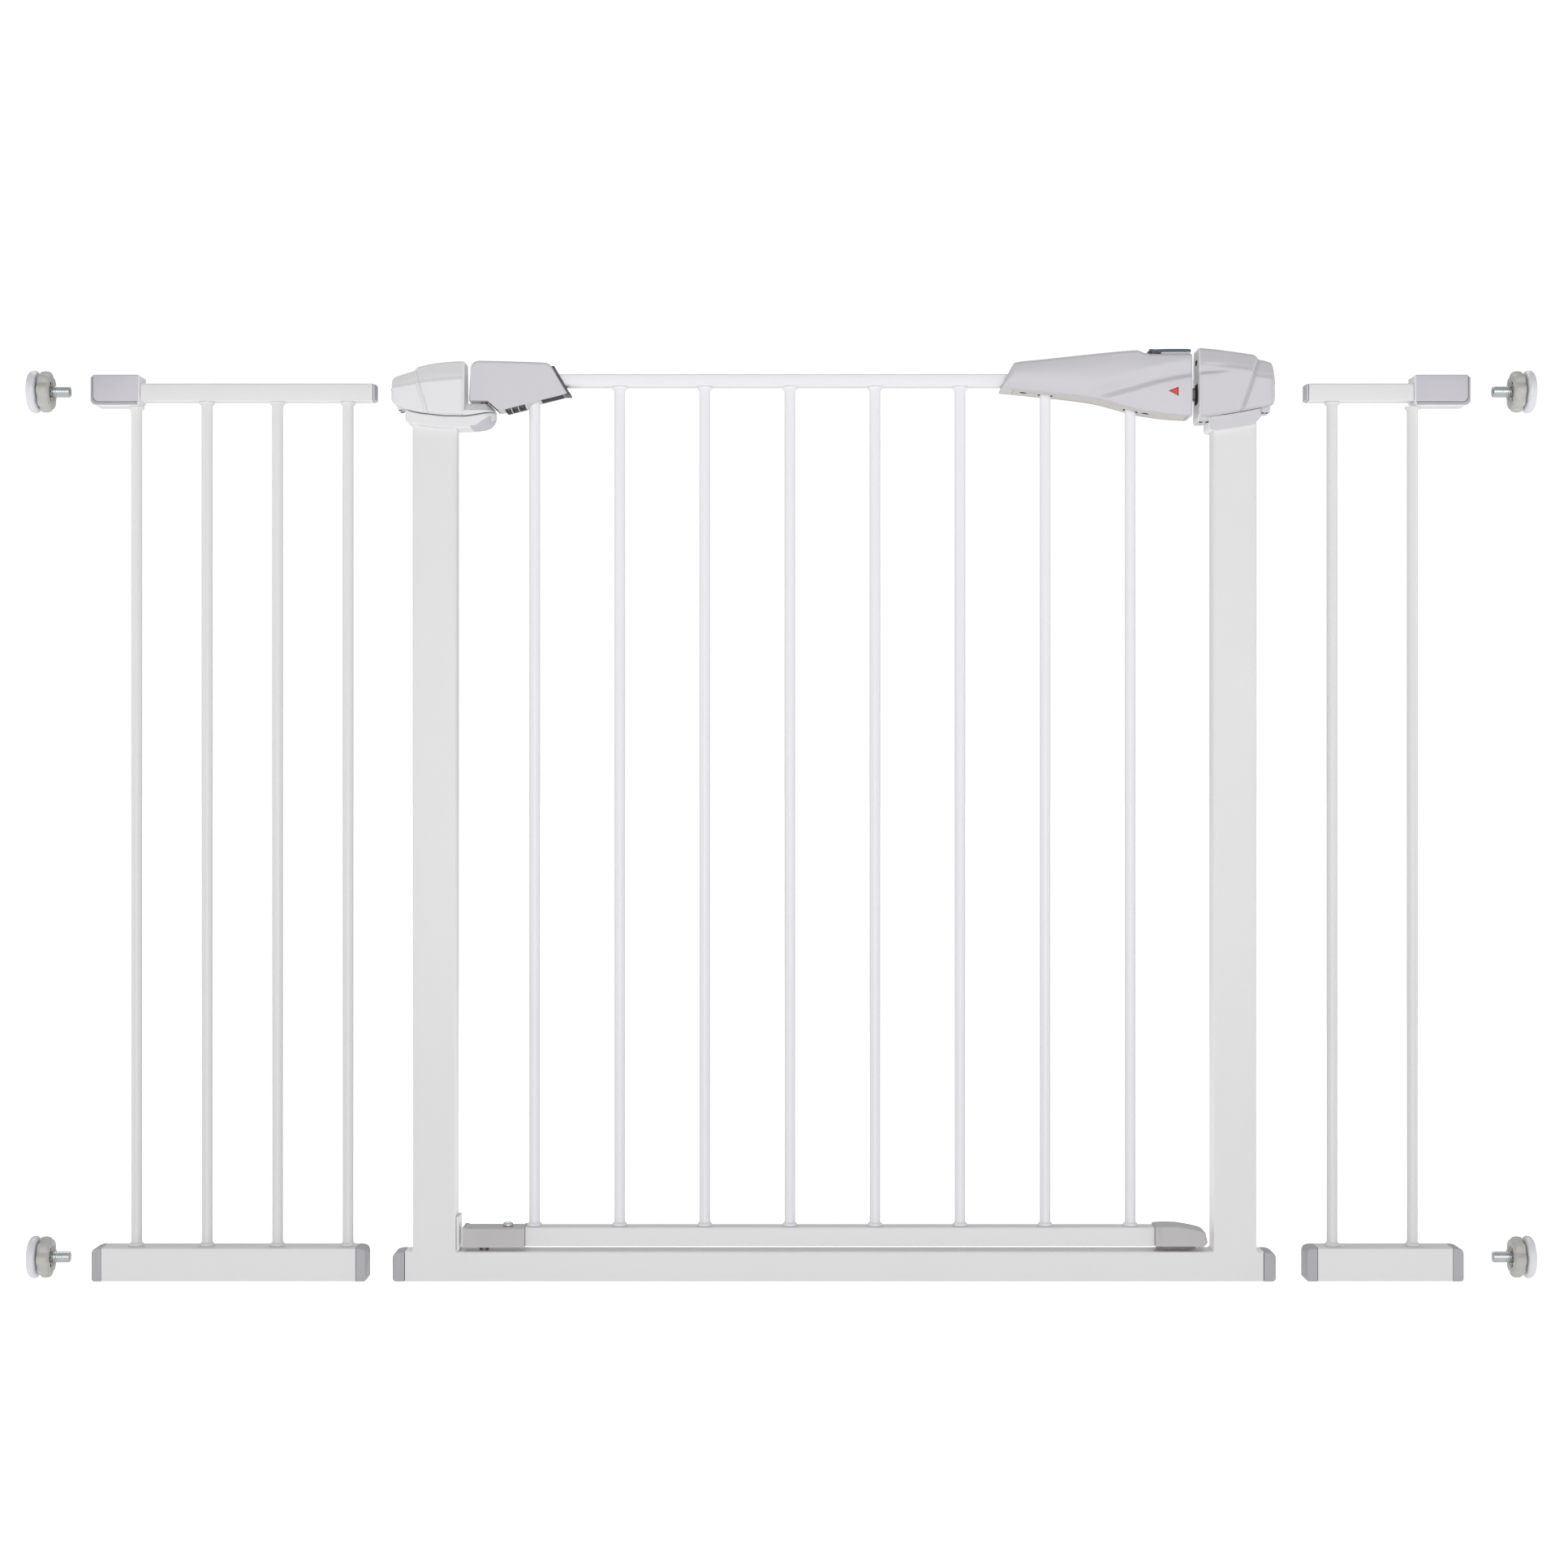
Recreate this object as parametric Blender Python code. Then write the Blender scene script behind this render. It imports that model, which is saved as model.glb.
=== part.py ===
"""Pressure-fitted safety gate laid out as a kit: a U-shaped frame with a swinging barred door,
two bolt-on extensions and four wall spindles.

Lengths below are in millimetres and are scaled to metres when a mesh is made.
+X runs along the gate towards the latch, -Y is the front, +Z is up, and the floor is Z = 0.
"""

import math

import bmesh
import bpy

MM = 0.001

# Clearances.
SEAM = 0.3
RUNNING = 0.2

# Welded U-frame.
TUBE_HALF_DEPTH = 12.5
TUBE_WALL = 1.5
THRESHOLD_TOP = 25.0
THRESHOLD_X = (-315.4, 398.9)
LEFT_UPRIGHT_X = (-308.8, -273.0)
RIGHT_UPRIGHT_X = (357.2, 393.0)
UPRIGHT_TOP = 714.0
CAP_LENGTH = 10.2

# Hinge line of the door.
HINGE_X = -250.5
ARM_HALF_DEPTH = 11.0
ARM_RIDGE_HALF = 3.5
ARM_EAVES = 724.5
ARM_TOP = 731.2
ARM_BOTTOM = 708.6
NECK_TOP = 718.4
SHOULDER_TOP = 723.4
NOSE_REACH = 10.0
PIN_RADIUS = 3.0
PIN_TOP = 752.0
PIN_BOTTOM = 713.0
LOWER_PIN_RADIUS = 3.8

# Door.
BAR_RADIUS = 4.5
BAR_BORE = 3.7
COLLAR_RADIUS = 6.0
DOOR_BAR_COUNT = 8
DOOR_BAR_FIRST = -208.4
DOOR_BAR_PITCH = 71.1
RAIL_HALF_DEPTH = 9.0
TOP_RAIL_Z = (745.6, 755.2)
TOP_RAIL_X = (-216.0, 297.0)
BOTTOM_RAIL_Z = (29.0, 44.8)
BOTTOM_RAIL_X = (-215.4, 308.5)
SHOE_X = (-266.3, -215.7)
SHOE_Z = (28.3, 45.2)
SHOE_HALF_DEPTH = 13.0
CATCH_X = (308.8, 352.6)
HANDLE_HALF_DEPTH = 17.0
COVER_HALF_DEPTH = 19.0
SHELL = 3.0

# Latch.
BOLT_X = (315.0, 344.0)
BOLT_Z = (734.0, 744.0)
BOLT_HALF_DEPTH = 5.0
KEEPER_X = 344.5

# Extensions.
EXT_RAIL_Z = (733.0, 747.4)
EXT_RAIL_HALF_DEPTH = 8.5
EXT_FOOT_TOP = 28.0
SOCKET_Z = (729.0, 754.0)
SOCKET_HALF_DEPTH = 13.0

# Wall spindles. Depths are measured inwards from the outer face of the pad.
SPINDLE_HIGH = 741.5
SPINDLE_LOW = 18.5
SPINDLE_RADIUS = 4.7
SPINDLE_LENGTH = 33.4
PAD_RADIUS = 17.7
PAD_THICK = 7.5
WHEEL_DEPTHS = (8.3, 18.6)
WHEEL_RADIUS = 16.4
WHEEL_LOBE = 1.1
WHEEL_LOBES = 8

HINGE_COVER = [
    (-324.0, 731.2), (-313.9, 724.5), (-303.2, 722.6), (-292.4, 721.1), (-280.0, 719.8), (-265.7, 719.1),
    (-265.7, 763.5), (-276.0, 763.0), (-285.7, 762.1), (-295.5, 760.2), (-304.5, 757.4), (-323.3, 750.2),
]
HINGE_COLLAR = [
    (-313.2, 724.0), (-313.2, 714.0), (-311.0, 712.4), (-298.0, 710.0), (-285.7, 708.6), (-269.0, 708.0),
    (-269.0, 718.7), (-280.0, 719.5), (-292.4, 720.8), (-303.2, 722.3),
]
DOOR_COVER = [
    (-260.5, 732.2), (HINGE_X + 3.9, 732.2), (HINGE_X + 12.2, 724.8), (-236.5, 724.7), (-216.0, 729.7),
    (-202.2, 733.1), (-181.6, 738.2), (-180.6, 738.8), (-193.9, 760.9), (-197.4, 763.2), (-219.1, 764.0),
    (-253.5, 765.2), (-258.6, 762.6), (-260.3, 757.5),
]
HANDLE = [
    (180.6, 742.0), (196.0, 740.6), (211.9, 738.7), (226.0, 737.6), (240.2, 736.1), (253.5, 734.4),
    (265.7, 731.8), (275.5, 728.9), (285.7, 725.9), (306.1, 721.9), (319.6, 720.1), (336.6, 719.2),
    (340.0, 723.0), (340.3, 745.0), (338.9, 769.7), (296.4, 769.7), (290.5, 772.8), (265.0, 770.6),
    (240.0, 768.0), (216.0, 765.4), (195.5, 762.6), (189.5, 757.6),
]
HANDLE_FLOOR = [
    (190.5, 741.3), (211.9, 738.9), (240.2, 736.3), (253.5, 734.6), (265.7, 732.0), (285.7, 726.1),
    (306.1, 722.1), (319.6, 720.3), (336.0, 719.5),
]
LATCH_COVER = [
    (344.5, 718.7), (357.9, 719.3), (380.4, 724.0), (405.8, 728.9), (407.4, 740.0), (407.0, 752.0),
    (405.6, 760.4), (390.5, 766.8), (381.0, 769.8), (371.0, 771.6), (357.0, 773.4), (344.5, 774.3),
]
LATCH_COLLAR = [
    (353.0, 718.8), (355.0, 705.6), (374.0, 707.4), (391.5, 710.4), (395.6, 715.0), (395.6, 726.6),
    (380.4, 723.6), (357.9, 719.0),
]
ARROW = [(319.3, 739.9), (327.0, 736.0), (327.0, 743.0)]


def add_mesh(name, points, faces):
    """Make one object from points in millimetres, with its faces turned outwards."""
    mesh = bpy.data.meshes.new(name)
    mesh.from_pydata([[value * MM for value in point] for point in points], [], faces)
    body = bmesh.new()
    body.from_mesh(mesh)
    bmesh.ops.recalc_face_normals(body, faces=body.faces)
    body.to_mesh(mesh)
    body.free()
    obj = bpy.data.objects.new(name, mesh)
    bpy.context.scene.collection.objects.link(obj)
    return obj


def joined_rings(name, rings, closed=False):
    """Skin a list of rings of equal length; an open stack is capped at both ends."""
    size = len(rings[0])
    points = [point for ring in rings for point in ring]
    faces = []
    spans = len(rings) if closed else len(rings) - 1
    for span in range(spans):
        low = span * size
        high = ((span + 1) % len(rings)) * size
        for index in range(size):
            following = (index + 1) % size
            faces.append((low + index, low + following, high + following, high + index))
    if not closed:
        faces.append(tuple(range(size)))
        faces.append(tuple(range(len(points) - size, len(points))))
    return add_mesh(name, points, faces)


def anticlockwise(outline):
    """Return the outline in the turning sense that has a positive area."""
    area = 0.0
    for index, point in enumerate(outline):
        before = outline[index - 1]
        area += before[0] * point[1] - point[0] * before[1]
    return list(outline) if area > 0 else list(reversed(outline))


def inset(outline, distance):
    """Move every side of an anticlockwise outline inwards by one distance."""
    moved = []
    for index, here in enumerate(outline):
        before = outline[index - 1]
        after = outline[(index + 1) % len(outline)]
        normals = []
        for start, end in ((before, here), (here, after)):
            length = math.dist(start, end)
            normals.append(((start[1] - end[1]) / length, (end[0] - start[0]) / length))
        scale = distance / (1.0 + normals[0][0] * normals[1][0] + normals[0][1] * normals[1][1])
        moved.append((
            here[0] + scale * (normals[0][0] + normals[1][0]),
            here[1] + scale * (normals[0][1] + normals[1][1]),
        ))
    return moved


def prism(name, outline, front, back):
    """Extrude an outline of X and Z along Y."""
    rings = [[(x, y, z) for x, z in outline] for y in (front, back)]
    return joined_rings(name, rings)


def cushion(name, outline, half_depth, edge, steps=3):
    """Extrude an outline of X and Z along Y, with its front and back edges rounded."""
    outline = anticlockwise(outline)
    half = []
    for step in range(steps + 1):
        angle = math.pi / 2 * step / steps
        ring = inset(outline, edge * (1.0 - math.sin(angle)))
        half.append((ring, half_depth - edge + edge * math.cos(angle)))
    rings = [[(x, -depth, z) for x, z in ring] for ring, depth in half]
    rings += [[(x, depth, z) for x, z in ring] for ring, depth in reversed(half)]
    return joined_rings(name, rings)


def box(name, x_range, half_depth, z_range):
    """A plain block centred on the Y = 0 plane."""
    outline = [
        (x_range[0], z_range[0]), (x_range[1], z_range[0]), (x_range[1], z_range[1]), (x_range[0], z_range[1]),
    ]
    return prism(name, outline, -half_depth, half_depth)


def section(half_depth, z_range, corner):
    """A rectangle of Y and Z with its corners cut."""
    low, high = z_range
    return [
        (-half_depth + corner, low), (half_depth - corner, low), (half_depth, low + corner),
        (half_depth, high - corner), (half_depth - corner, high), (-half_depth + corner, high),
        (-half_depth, high - corner), (-half_depth, low + corner),
    ]


def rail(name, x_range, half_depth, z_range, wall, corner=1.5):
    """A rectangular tube along X, open at both ends."""
    outer = section(half_depth, z_range, corner)
    inner = section(half_depth - wall, (z_range[0] + wall, z_range[1] - wall), corner / 2)
    rings = [
        [(x_range[0], y, z) for y, z in outer], [(x_range[1], y, z) for y, z in outer],
        [(x_range[1], y, z) for y, z in inner], [(x_range[0], y, z) for y, z in inner],
    ]
    return joined_rings(name, rings, closed=True)


def turned(name, axis, centre, profile, segments=24, closed=False, lobe=0.0, lobes=0):
    """Turn a profile of (radius, position) about a line along X or Z; only full radii are lobed."""
    widest = max(radius for radius, position in profile)
    rings = []
    for radius, position in profile:
        ring = []
        for index in range(segments):
            angle = 2 * math.pi * index / segments
            swell = lobe * math.cos(lobes * angle) if radius > widest * 0.8 else 0.0
            across = (radius + swell) * math.cos(angle)
            along = (radius + swell) * math.sin(angle)
            if axis == "X":
                ring.append((position, centre[0] + across, centre[1] + along))
            else:
                ring.append((centre[0] + across, centre[1] + along, position))
        rings.append(ring)
    return joined_rings(name, rings, closed)


def rod(name, axis, centre, radius, start, end, segments=24):
    """A plain cylinder."""
    return turned(name, axis, centre, [(radius, start), (radius, end)], segments)


def combine(target, other, operation):
    """Cut or weld one object with another, and keep the other hidden."""
    other.hide_render = True
    other.display_type = "WIRE"
    modifier = target.modifiers.new(operation.lower() + "_" + other.name, "BOOLEAN")
    modifier.operation = operation
    modifier.solver = "EXACT"
    modifier.object = other


def cut(target, cutter):
    combine(target, cutter, "DIFFERENCE")


def weld(target, other):
    combine(target, other, "UNION")


def bar(name, x, bottom, top, segments=16):
    """A round upright tube with a flared weld collar at each end."""
    profile = [
        (COLLAR_RADIUS, bottom), (COLLAR_RADIUS, bottom + 1.2), (BAR_RADIUS, bottom + 4.0),
        (BAR_RADIUS, top - 4.0), (COLLAR_RADIUS, top - 1.2), (COLLAR_RADIUS, top),
        (BAR_BORE, top), (BAR_BORE, bottom),
    ]
    return turned(name, "Z", (x, 0.0), profile, segments, closed=True)


def end_cap(name, face, outer, top, hole=None):
    """A plastic plug on a tube's end, from the face it meets to its rounded outer end."""
    side = 1.0 if outer > face else -1.0
    outline = [
        (face, 0.0), (outer - side * 2.0, 0.0), (outer, 2.0), (outer, top - 3.0),
        (outer - side * 2.4, top), (face, top),
    ]
    cap = cushion(name, outline, TUBE_HALF_DEPTH, 1.2, 2)
    if hole is not None:
        cut(cap, rod(name + "_hole", "X", (0.0, hole), SPINDLE_RADIUS + 0.6, face - side * 3, outer + side * 3))
    return cap


def build_frame():
    """The welded U-frame, its end caps, stop plate and the fixed top housings."""
    left, right = LEFT_UPRIGHT_X, RIGHT_UPRIGHT_X
    outline = [
        (THRESHOLD_X[0], 0.0), (THRESHOLD_X[1], 0.0), (THRESHOLD_X[1], THRESHOLD_TOP),
        (right[1], THRESHOLD_TOP), (right[1], UPRIGHT_TOP), (right[0], UPRIGHT_TOP), (right[0], THRESHOLD_TOP),
        (left[1], THRESHOLD_TOP), (left[1], UPRIGHT_TOP), (left[0], UPRIGHT_TOP), (left[0], THRESHOLD_TOP),
        (THRESHOLD_X[0], THRESHOLD_TOP),
    ]
    frame = cushion("u_frame", outline, TUBE_HALF_DEPTH, 2.0, 2)
    hollow = TUBE_HALF_DEPTH - TUBE_WALL
    for label, span in (("left", left), ("right", right)):
        inside = (span[0] + TUBE_WALL, span[1] - TUBE_WALL)
        cut(frame, box(label + "_bore", inside, hollow, (THRESHOLD_TOP + 1.5, UPRIGHT_TOP + 5)))
    inside = (THRESHOLD_X[0] - 5, THRESHOLD_X[1] + 5)
    cut(frame, box("threshold_bore", inside, hollow, (TUBE_WALL, THRESHOLD_TOP - TUBE_WALL)))
    cut(frame, rod("pin_hole", "Z", (HINGE_X, 0.0), LOWER_PIN_RADIUS + RUNNING, 20.0, 30.0))

    left_face = THRESHOLD_X[0] - SEAM
    right_face = THRESHOLD_X[1] + SEAM
    end_cap("threshold_cap_left", left_face, left_face - CAP_LENGTH, THRESHOLD_TOP)
    end_cap("threshold_cap_right", right_face, right_face + CAP_LENGTH, THRESHOLD_TOP)
    box("threshold_stop", (left[1] + SEAM, left[1] + 2.8), 10.0, (THRESHOLD_TOP + SEAM, 54.0))


def build_hinge_side():
    """Fixed hinge housing: collar with its arm, the cover above it and the pivot pins."""
    bracket = cushion("hinge_bracket", HINGE_COLLAR, HANDLE_HALF_DEPTH, 1.5, 2)
    tip = []
    for step in range(13):
        angle = math.pi * (step / 12 - 0.5)
        tip.append((HINGE_X + NOSE_REACH * math.cos(angle), HANDLE_HALF_DEPTH * math.sin(angle)))
    for label, start, top in (("neck", -272.0, NECK_TOP), ("shoulder", -265.4, SHOULDER_TOP)):
        plan = [(start, -HANDLE_HALF_DEPTH)] + tip + [(start, HANDLE_HALF_DEPTH)]
        weld(bracket, joined_rings(label, [[(x, y, z) for x, y in plan] for z in (ARM_BOTTOM, top)]))
    gable = [
        (-ARM_HALF_DEPTH, ARM_BOTTOM + 1), (ARM_HALF_DEPTH, ARM_BOTTOM + 1), (ARM_HALF_DEPTH, ARM_EAVES),
        (ARM_RIDGE_HALF, ARM_TOP), (-ARM_RIDGE_HALF, ARM_TOP), (-ARM_HALF_DEPTH, ARM_EAVES),
    ]
    arm = joined_rings("arm", [[(x, y, z) for y, z in gable] for x in (-265.4, HINGE_X)])
    weld(bracket, arm)
    nose = [
        (ARM_HALF_DEPTH - 2.0, ARM_BOTTOM + 0.5), (ARM_HALF_DEPTH, ARM_BOTTOM + 2.5),
        (ARM_HALF_DEPTH, ARM_EAVES), (ARM_RIDGE_HALF, ARM_TOP),
    ]
    weld(bracket, turned("nose", "Z", (HINGE_X, 0.0), nose, 32))
    cut(bracket, rod("arm_bore", "Z", (HINGE_X, 0.0), PIN_RADIUS + RUNNING, PIN_BOTTOM - 0.5, ARM_TOP + 5))
    seat = (LEFT_UPRIGHT_X[0] - SEAM, LEFT_UPRIGHT_X[1] + SEAM)
    cut(bracket, box("left_seat", seat, TUBE_HALF_DEPTH + SEAM, (700.0, UPRIGHT_TOP + SEAM)))

    cover = cushion("hinge_cover", HINGE_COVER, COVER_HALF_DEPTH, 4.0)
    hollow = [
        (-320.4, 733.0), (-310.0, 726.0), (-309.0, 715.0), (-269.0, 715.0),
        (-269.0, 760.0), (-285.7, 758.6), (-304.0, 753.6), (-320.2, 747.6),
    ]
    cut(cover, prism("hinge_cover_hollow", hollow, SHELL - COVER_HALF_DEPTH, COVER_HALF_DEPTH - SHELL))
    recess_z = (EXT_RAIL_Z[0] - 0.6, EXT_RAIL_Z[1] + 0.6)
    cut(cover, box("rail_recess", (-330.0, -317.0), EXT_RAIL_HALF_DEPTH + 0.8, recess_z))

    rod("upper_pivot_pin", "Z", (HINGE_X, 0.0), PIN_RADIUS, PIN_BOTTOM, PIN_TOP)
    rod("lower_pivot_pin", "Z", (HINGE_X, 0.0), LOWER_PIN_RADIUS, 7.0, 42.0)


def build_latch_side():
    """Fixed latch housing: the collar on the upright and the keeper cover above it."""
    collar = cushion("latch_bracket", LATCH_COLLAR, 15.5, 1.5, 2)
    seat = (RIGHT_UPRIGHT_X[0] - SEAM, RIGHT_UPRIGHT_X[1] + SEAM)
    cut(collar, box("right_seat", seat, TUBE_HALF_DEPTH + SEAM, (700.0, UPRIGHT_TOP + SEAM)))

    cover = cushion("latch_cover", LATCH_COVER, COVER_HALF_DEPTH, 5.0)
    hollow = [
        (347.5, 726.0), (357.0, 726.0), (358.0, 710.0), (395.0, 710.0), (401.0, 732.0), (403.6, 740.0),
        (403.2, 752.0), (402.0, 758.0), (380.0, 766.4), (357.0, 770.0), (347.5, 770.6),
    ]
    cut(cover, prism("latch_cover_hollow", hollow, SHELL - COVER_HALF_DEPTH, COVER_HALF_DEPTH - SHELL))
    cut(cover, box("keeper_slot", (KEEPER_X - 5, KEEPER_X + 6), 9.0, (729.5, 748.5)))


def build_door():
    """Rails, bars, hinge cover, shoe, handle and catch, all of which swing together."""
    rail("door_top_rail", TOP_RAIL_X, RAIL_HALF_DEPTH, TOP_RAIL_Z, 1.2)
    rail("door_bottom_rail", BOTTOM_RAIL_X, RAIL_HALF_DEPTH, BOTTOM_RAIL_Z, 1.2)
    bars = [DOOR_BAR_FIRST + DOOR_BAR_PITCH * index for index in range(DOOR_BAR_COUNT)]
    for number, x in enumerate(bars, 1):
        bar(f"door_bar_{number}", x, BOTTOM_RAIL_Z[1] + SEAM / 2, TOP_RAIL_Z[0] - SEAM / 2)

    cover = cushion("door_hinge_cover", DOOR_COVER, TUBE_HALF_DEPTH, 3.0)
    rail_room = (TOP_RAIL_Z[0] - 0.4, TOP_RAIL_Z[1] + 0.4)
    cut(cover, box("cover_rail_room", (TOP_RAIL_X[0] - 1, -165.0), RAIL_HALF_DEPTH + 0.4, rail_room))
    cut(cover, rod("cover_bar_room", "Z", (bars[0], 0.0), COLLAR_RADIUS + 0.4, 715.0, TOP_RAIL_Z[0] + 1))
    cut(cover, rod("cover_pin_room", "Z", (HINGE_X, 0.0), PIN_RADIUS + RUNNING, 725.0, PIN_TOP + 0.5))

    left, right = SHOE_X
    shoulder, corner = SHOE_HALF_DEPTH, 4.0
    plan = [
        (left + corner, -shoulder), (right, -shoulder), (right, shoulder), (left + corner, shoulder),
        (left + 1.2, shoulder - 1.2), (left, shoulder - corner), (left, corner - shoulder), (left + 1.2, 1.2 - shoulder),
    ]
    shoe = joined_rings("lower_hinge_shoe", [[(x, y, z) for x, y in plan] for z in SHOE_Z])
    cut(shoe, rod("shoe_pin_room", "Z", (HINGE_X, 0.0), LOWER_PIN_RADIUS + RUNNING, 20.0, 42.5))
    cut(shoe, rod("shoe_bolt_room", "Z", (-230.5, 0.0), 2.6, 33.0, 60.0))
    head = SHOE_Z[1] + SEAM / 2
    bolt = [(2.2, 34.0), (2.2, head), (4.2, head), (4.2, head + 1.4), (2.6, head + 2.5)]
    turned("shoe_bolt", "Z", (-230.5, 0.0), bolt, 16)

    left, right = CATCH_X
    outline = [
        (left, 29.0), (right - 3.0, 29.0), (right, 32.5), (right, 39.5), (right - 1.8, 43.0),
        (right - 5.5, 45.4), (right - 12.0, 46.6), (left + 12.0, 46.6), (left, 45.6),
    ]
    cushion("bottom_catch", outline, SHOE_HALF_DEPTH, 1.5, 2)
    box("catch_plate", (left + 1.5, left + 33.5), 11.0, (27.2, 28.7))


def build_handle():
    """The long handle, its floor and marker, and the sliding latch it carries."""
    cover = cushion("handle_cover", HANDLE, HANDLE_HALF_DEPTH, 4.0)
    mouth = [(x, z - 8) for x, z in HANDLE_FLOOR]
    roof = [
        (336.0, 766.4), (296.0, 766.4), (288.0, 768.6), (265.0, 766.6), (240.0, 764.0), (216.0, 761.4), (198.0, 758.6),
        (190.5, 752.0),
    ]
    cut(cover, prism("handle_hollow", mouth + roof, SHELL - HANDLE_HALF_DEPTH, HANDLE_HALF_DEPTH - SHELL))
    rail_room = (TOP_RAIL_Z[0] - 0.4, TOP_RAIL_Z[1] + 0.4)
    cut(cover, box("handle_rail_room", (170.0, 200.0), RAIL_HALF_DEPTH + 0.4, rail_room))
    bolt_room = (BOLT_Z[0] - 0.6, BOLT_Z[1] + 0.6)
    cut(cover, box("handle_bolt_room", (330.0, 350.0), BOLT_HALF_DEPTH + 0.6, bolt_room))
    cut(cover, box("slider_slot", (310.5, 334.8), 3.5, (760.0, 780.0)))
    pocket = inset(anticlockwise(ARROW), -0.3)
    cut(cover, prism("arrow_pocket", pocket, -HANDLE_HALF_DEPTH - 2, 1.6 - HANDLE_HALF_DEPTH))
    prism("arrow_marker", ARROW, 0.3 - HANDLE_HALF_DEPTH, 1.3 - HANDLE_HALF_DEPTH)

    floor_line = HANDLE_FLOOR[:-1] + [(335.7, 719.5)]
    floor_line[0] = (190.8, 741.3)
    floor_outline = floor_line + [(x, z + 2.6) for x, z in reversed(floor_line)]
    floor_half = HANDLE_HALF_DEPTH - SHELL - SEAM
    base = prism("handle_base", floor_outline, -floor_half, floor_half)
    for number in (DOOR_BAR_COUNT - 1, DOOR_BAR_COUNT):
        x = DOOR_BAR_FIRST + DOOR_BAR_PITCH * (number - 1)
        cut(base, rod(f"base_bar_room_{number}", "Z", (x, 0.0), COLLAR_RADIUS, 710.0, 750.0))

    slider = [
        (305.2, 770.1), (338.4, 770.1), (338.4, 774.6), (337.2, 775.7), (312.0, 775.3), (307.0, 774.4),
        (304.8, 775.6), (304.2, 773.0),
    ]
    thumb = cushion("thumb_slider", slider, 12.0, 0.8, 2)
    weld(thumb, box("slider_stem", (319.0, 327.0), 2.8, (BOLT_Z[1] + SEAM, 771.5)))
    tip = [
        (BOLT_X[0], BOLT_Z[0]), (BOLT_X[1] - 2.0, BOLT_Z[0]), (BOLT_X[1], BOLT_Z[0] + 2.0),
        (BOLT_X[1], BOLT_Z[1] - 2.0), (BOLT_X[1] - 2.0, BOLT_Z[1]), (BOLT_X[0], BOLT_Z[1]),
    ]
    cushion("latch_bolt", tip, BOLT_HALF_DEPTH, 0.8, 2)


def build_extension(label, side, inner, outer, bars):
    """One extension panel; the rail and foot spans are given from the gate outwards."""
    plug_x, rail_start = inner["rail"]
    socket_start, socket_end = outer["socket"]
    foot_cap, foot_start = inner["foot"]
    foot_end, foot_outer = outer["foot"]
    gap = SEAM * side
    top_span = sorted((rail_start + gap, socket_start - gap))
    rail(f"{label}_top_rail", top_span, EXT_RAIL_HALF_DEPTH, EXT_RAIL_Z, 1.2)
    foot_span = sorted((foot_start + gap, foot_end - gap))
    rail(f"{label}_bottom_rail", foot_span, TUBE_HALF_DEPTH, (0.0, EXT_FOOT_TOP), 1.2, 2.0)
    plug_z = (EXT_RAIL_Z[0] + 0.4, EXT_RAIL_Z[1] - 0.4)
    box(f"{label}_top_plug", sorted((plug_x, rail_start)), EXT_RAIL_HALF_DEPTH - 0.4, plug_z)
    low, high = SOCKET_Z
    outline = [
        (socket_start, low), (socket_end, low), (socket_end, high - 1.5), (socket_end - side * 1.5, high),
        (socket_start + side * 1.5, high), (socket_start, high - 1.5),
    ]
    socket = cushion(f"{label}_socket", outline, SOCKET_HALF_DEPTH, 1.5, 2)
    bore = (socket_end + side * 3, socket_end - side * 30)
    cut(socket, rod(label + "_bore", "X", (0.0, SPINDLE_HIGH), SPINDLE_RADIUS + 0.6, min(bore), max(bore)))
    end_cap(f"{label}_inner_cap", foot_start, foot_cap, EXT_FOOT_TOP)
    end_cap(f"{label}_outer_cap", foot_end, foot_outer, EXT_FOOT_TOP, SPINDLE_LOW)
    for number, x in enumerate(bars, 1):
        under_socket = min(socket_start, socket_end) - COLLAR_RADIUS < x < max(socket_start, socket_end) + COLLAR_RADIUS
        top = SOCKET_Z[0] if under_socket else EXT_RAIL_Z[0]
        bar(f"{label}_bar_{number}", x, EXT_FOOT_TOP + SEAM / 2, top - SEAM / 2)


def build_spindle(label, side, face, z):
    """A wall pad, an adjusting wheel and the short bolt they sit on."""
    centre = (0.0, z)
    tip, pad_inner = face - side * SPINDLE_LENGTH, face - side * PAD_THICK
    outer, inner = (face - side * depth for depth in WHEEL_DEPTHS)
    bolt = [
        (SPINDLE_RADIUS, face - side * 3.5), (SPINDLE_RADIUS, tip + side * 0.8), (SPINDLE_RADIUS - 0.8, tip),
    ]
    turned(f"{label}_bolt", "X", centre, bolt, 20)
    pad = [
        (SPINDLE_RADIUS + 0.4, pad_inner), (PAD_RADIUS - 3.0, pad_inner),
        (PAD_RADIUS - 0.8, pad_inner + side * 1.0), (PAD_RADIUS, pad_inner + side * 3.0),
        (PAD_RADIUS - 0.6, face - side * 2.2), (PAD_RADIUS - 2.6, face - side * 0.4),
        (PAD_RADIUS - 4.4, face), (0.6, face), (0.6, face - side * 3.0),
        (SPINDLE_RADIUS + 0.4, face - side * 3.0),
    ]
    turned(f"{label}_pad", "X", centre, pad, 32, closed=True)
    wheel = [
        (SPINDLE_RADIUS + 0.4, inner), (WHEEL_RADIUS - 3.0, inner),
        (WHEEL_RADIUS - 0.6, inner + side * 2.2), (WHEEL_RADIUS, inner + side * 4.0),
        (WHEEL_RADIUS - 0.4, outer - side * 2.0), (WHEEL_RADIUS - 2.0, outer),
        (SPINDLE_RADIUS + 0.4, outer),
    ]
    turned(f"{label}_wheel", "X", centre, wheel, 40, closed=True, lobe=WHEEL_LOBE, lobes=WHEEL_LOBES)


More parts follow.
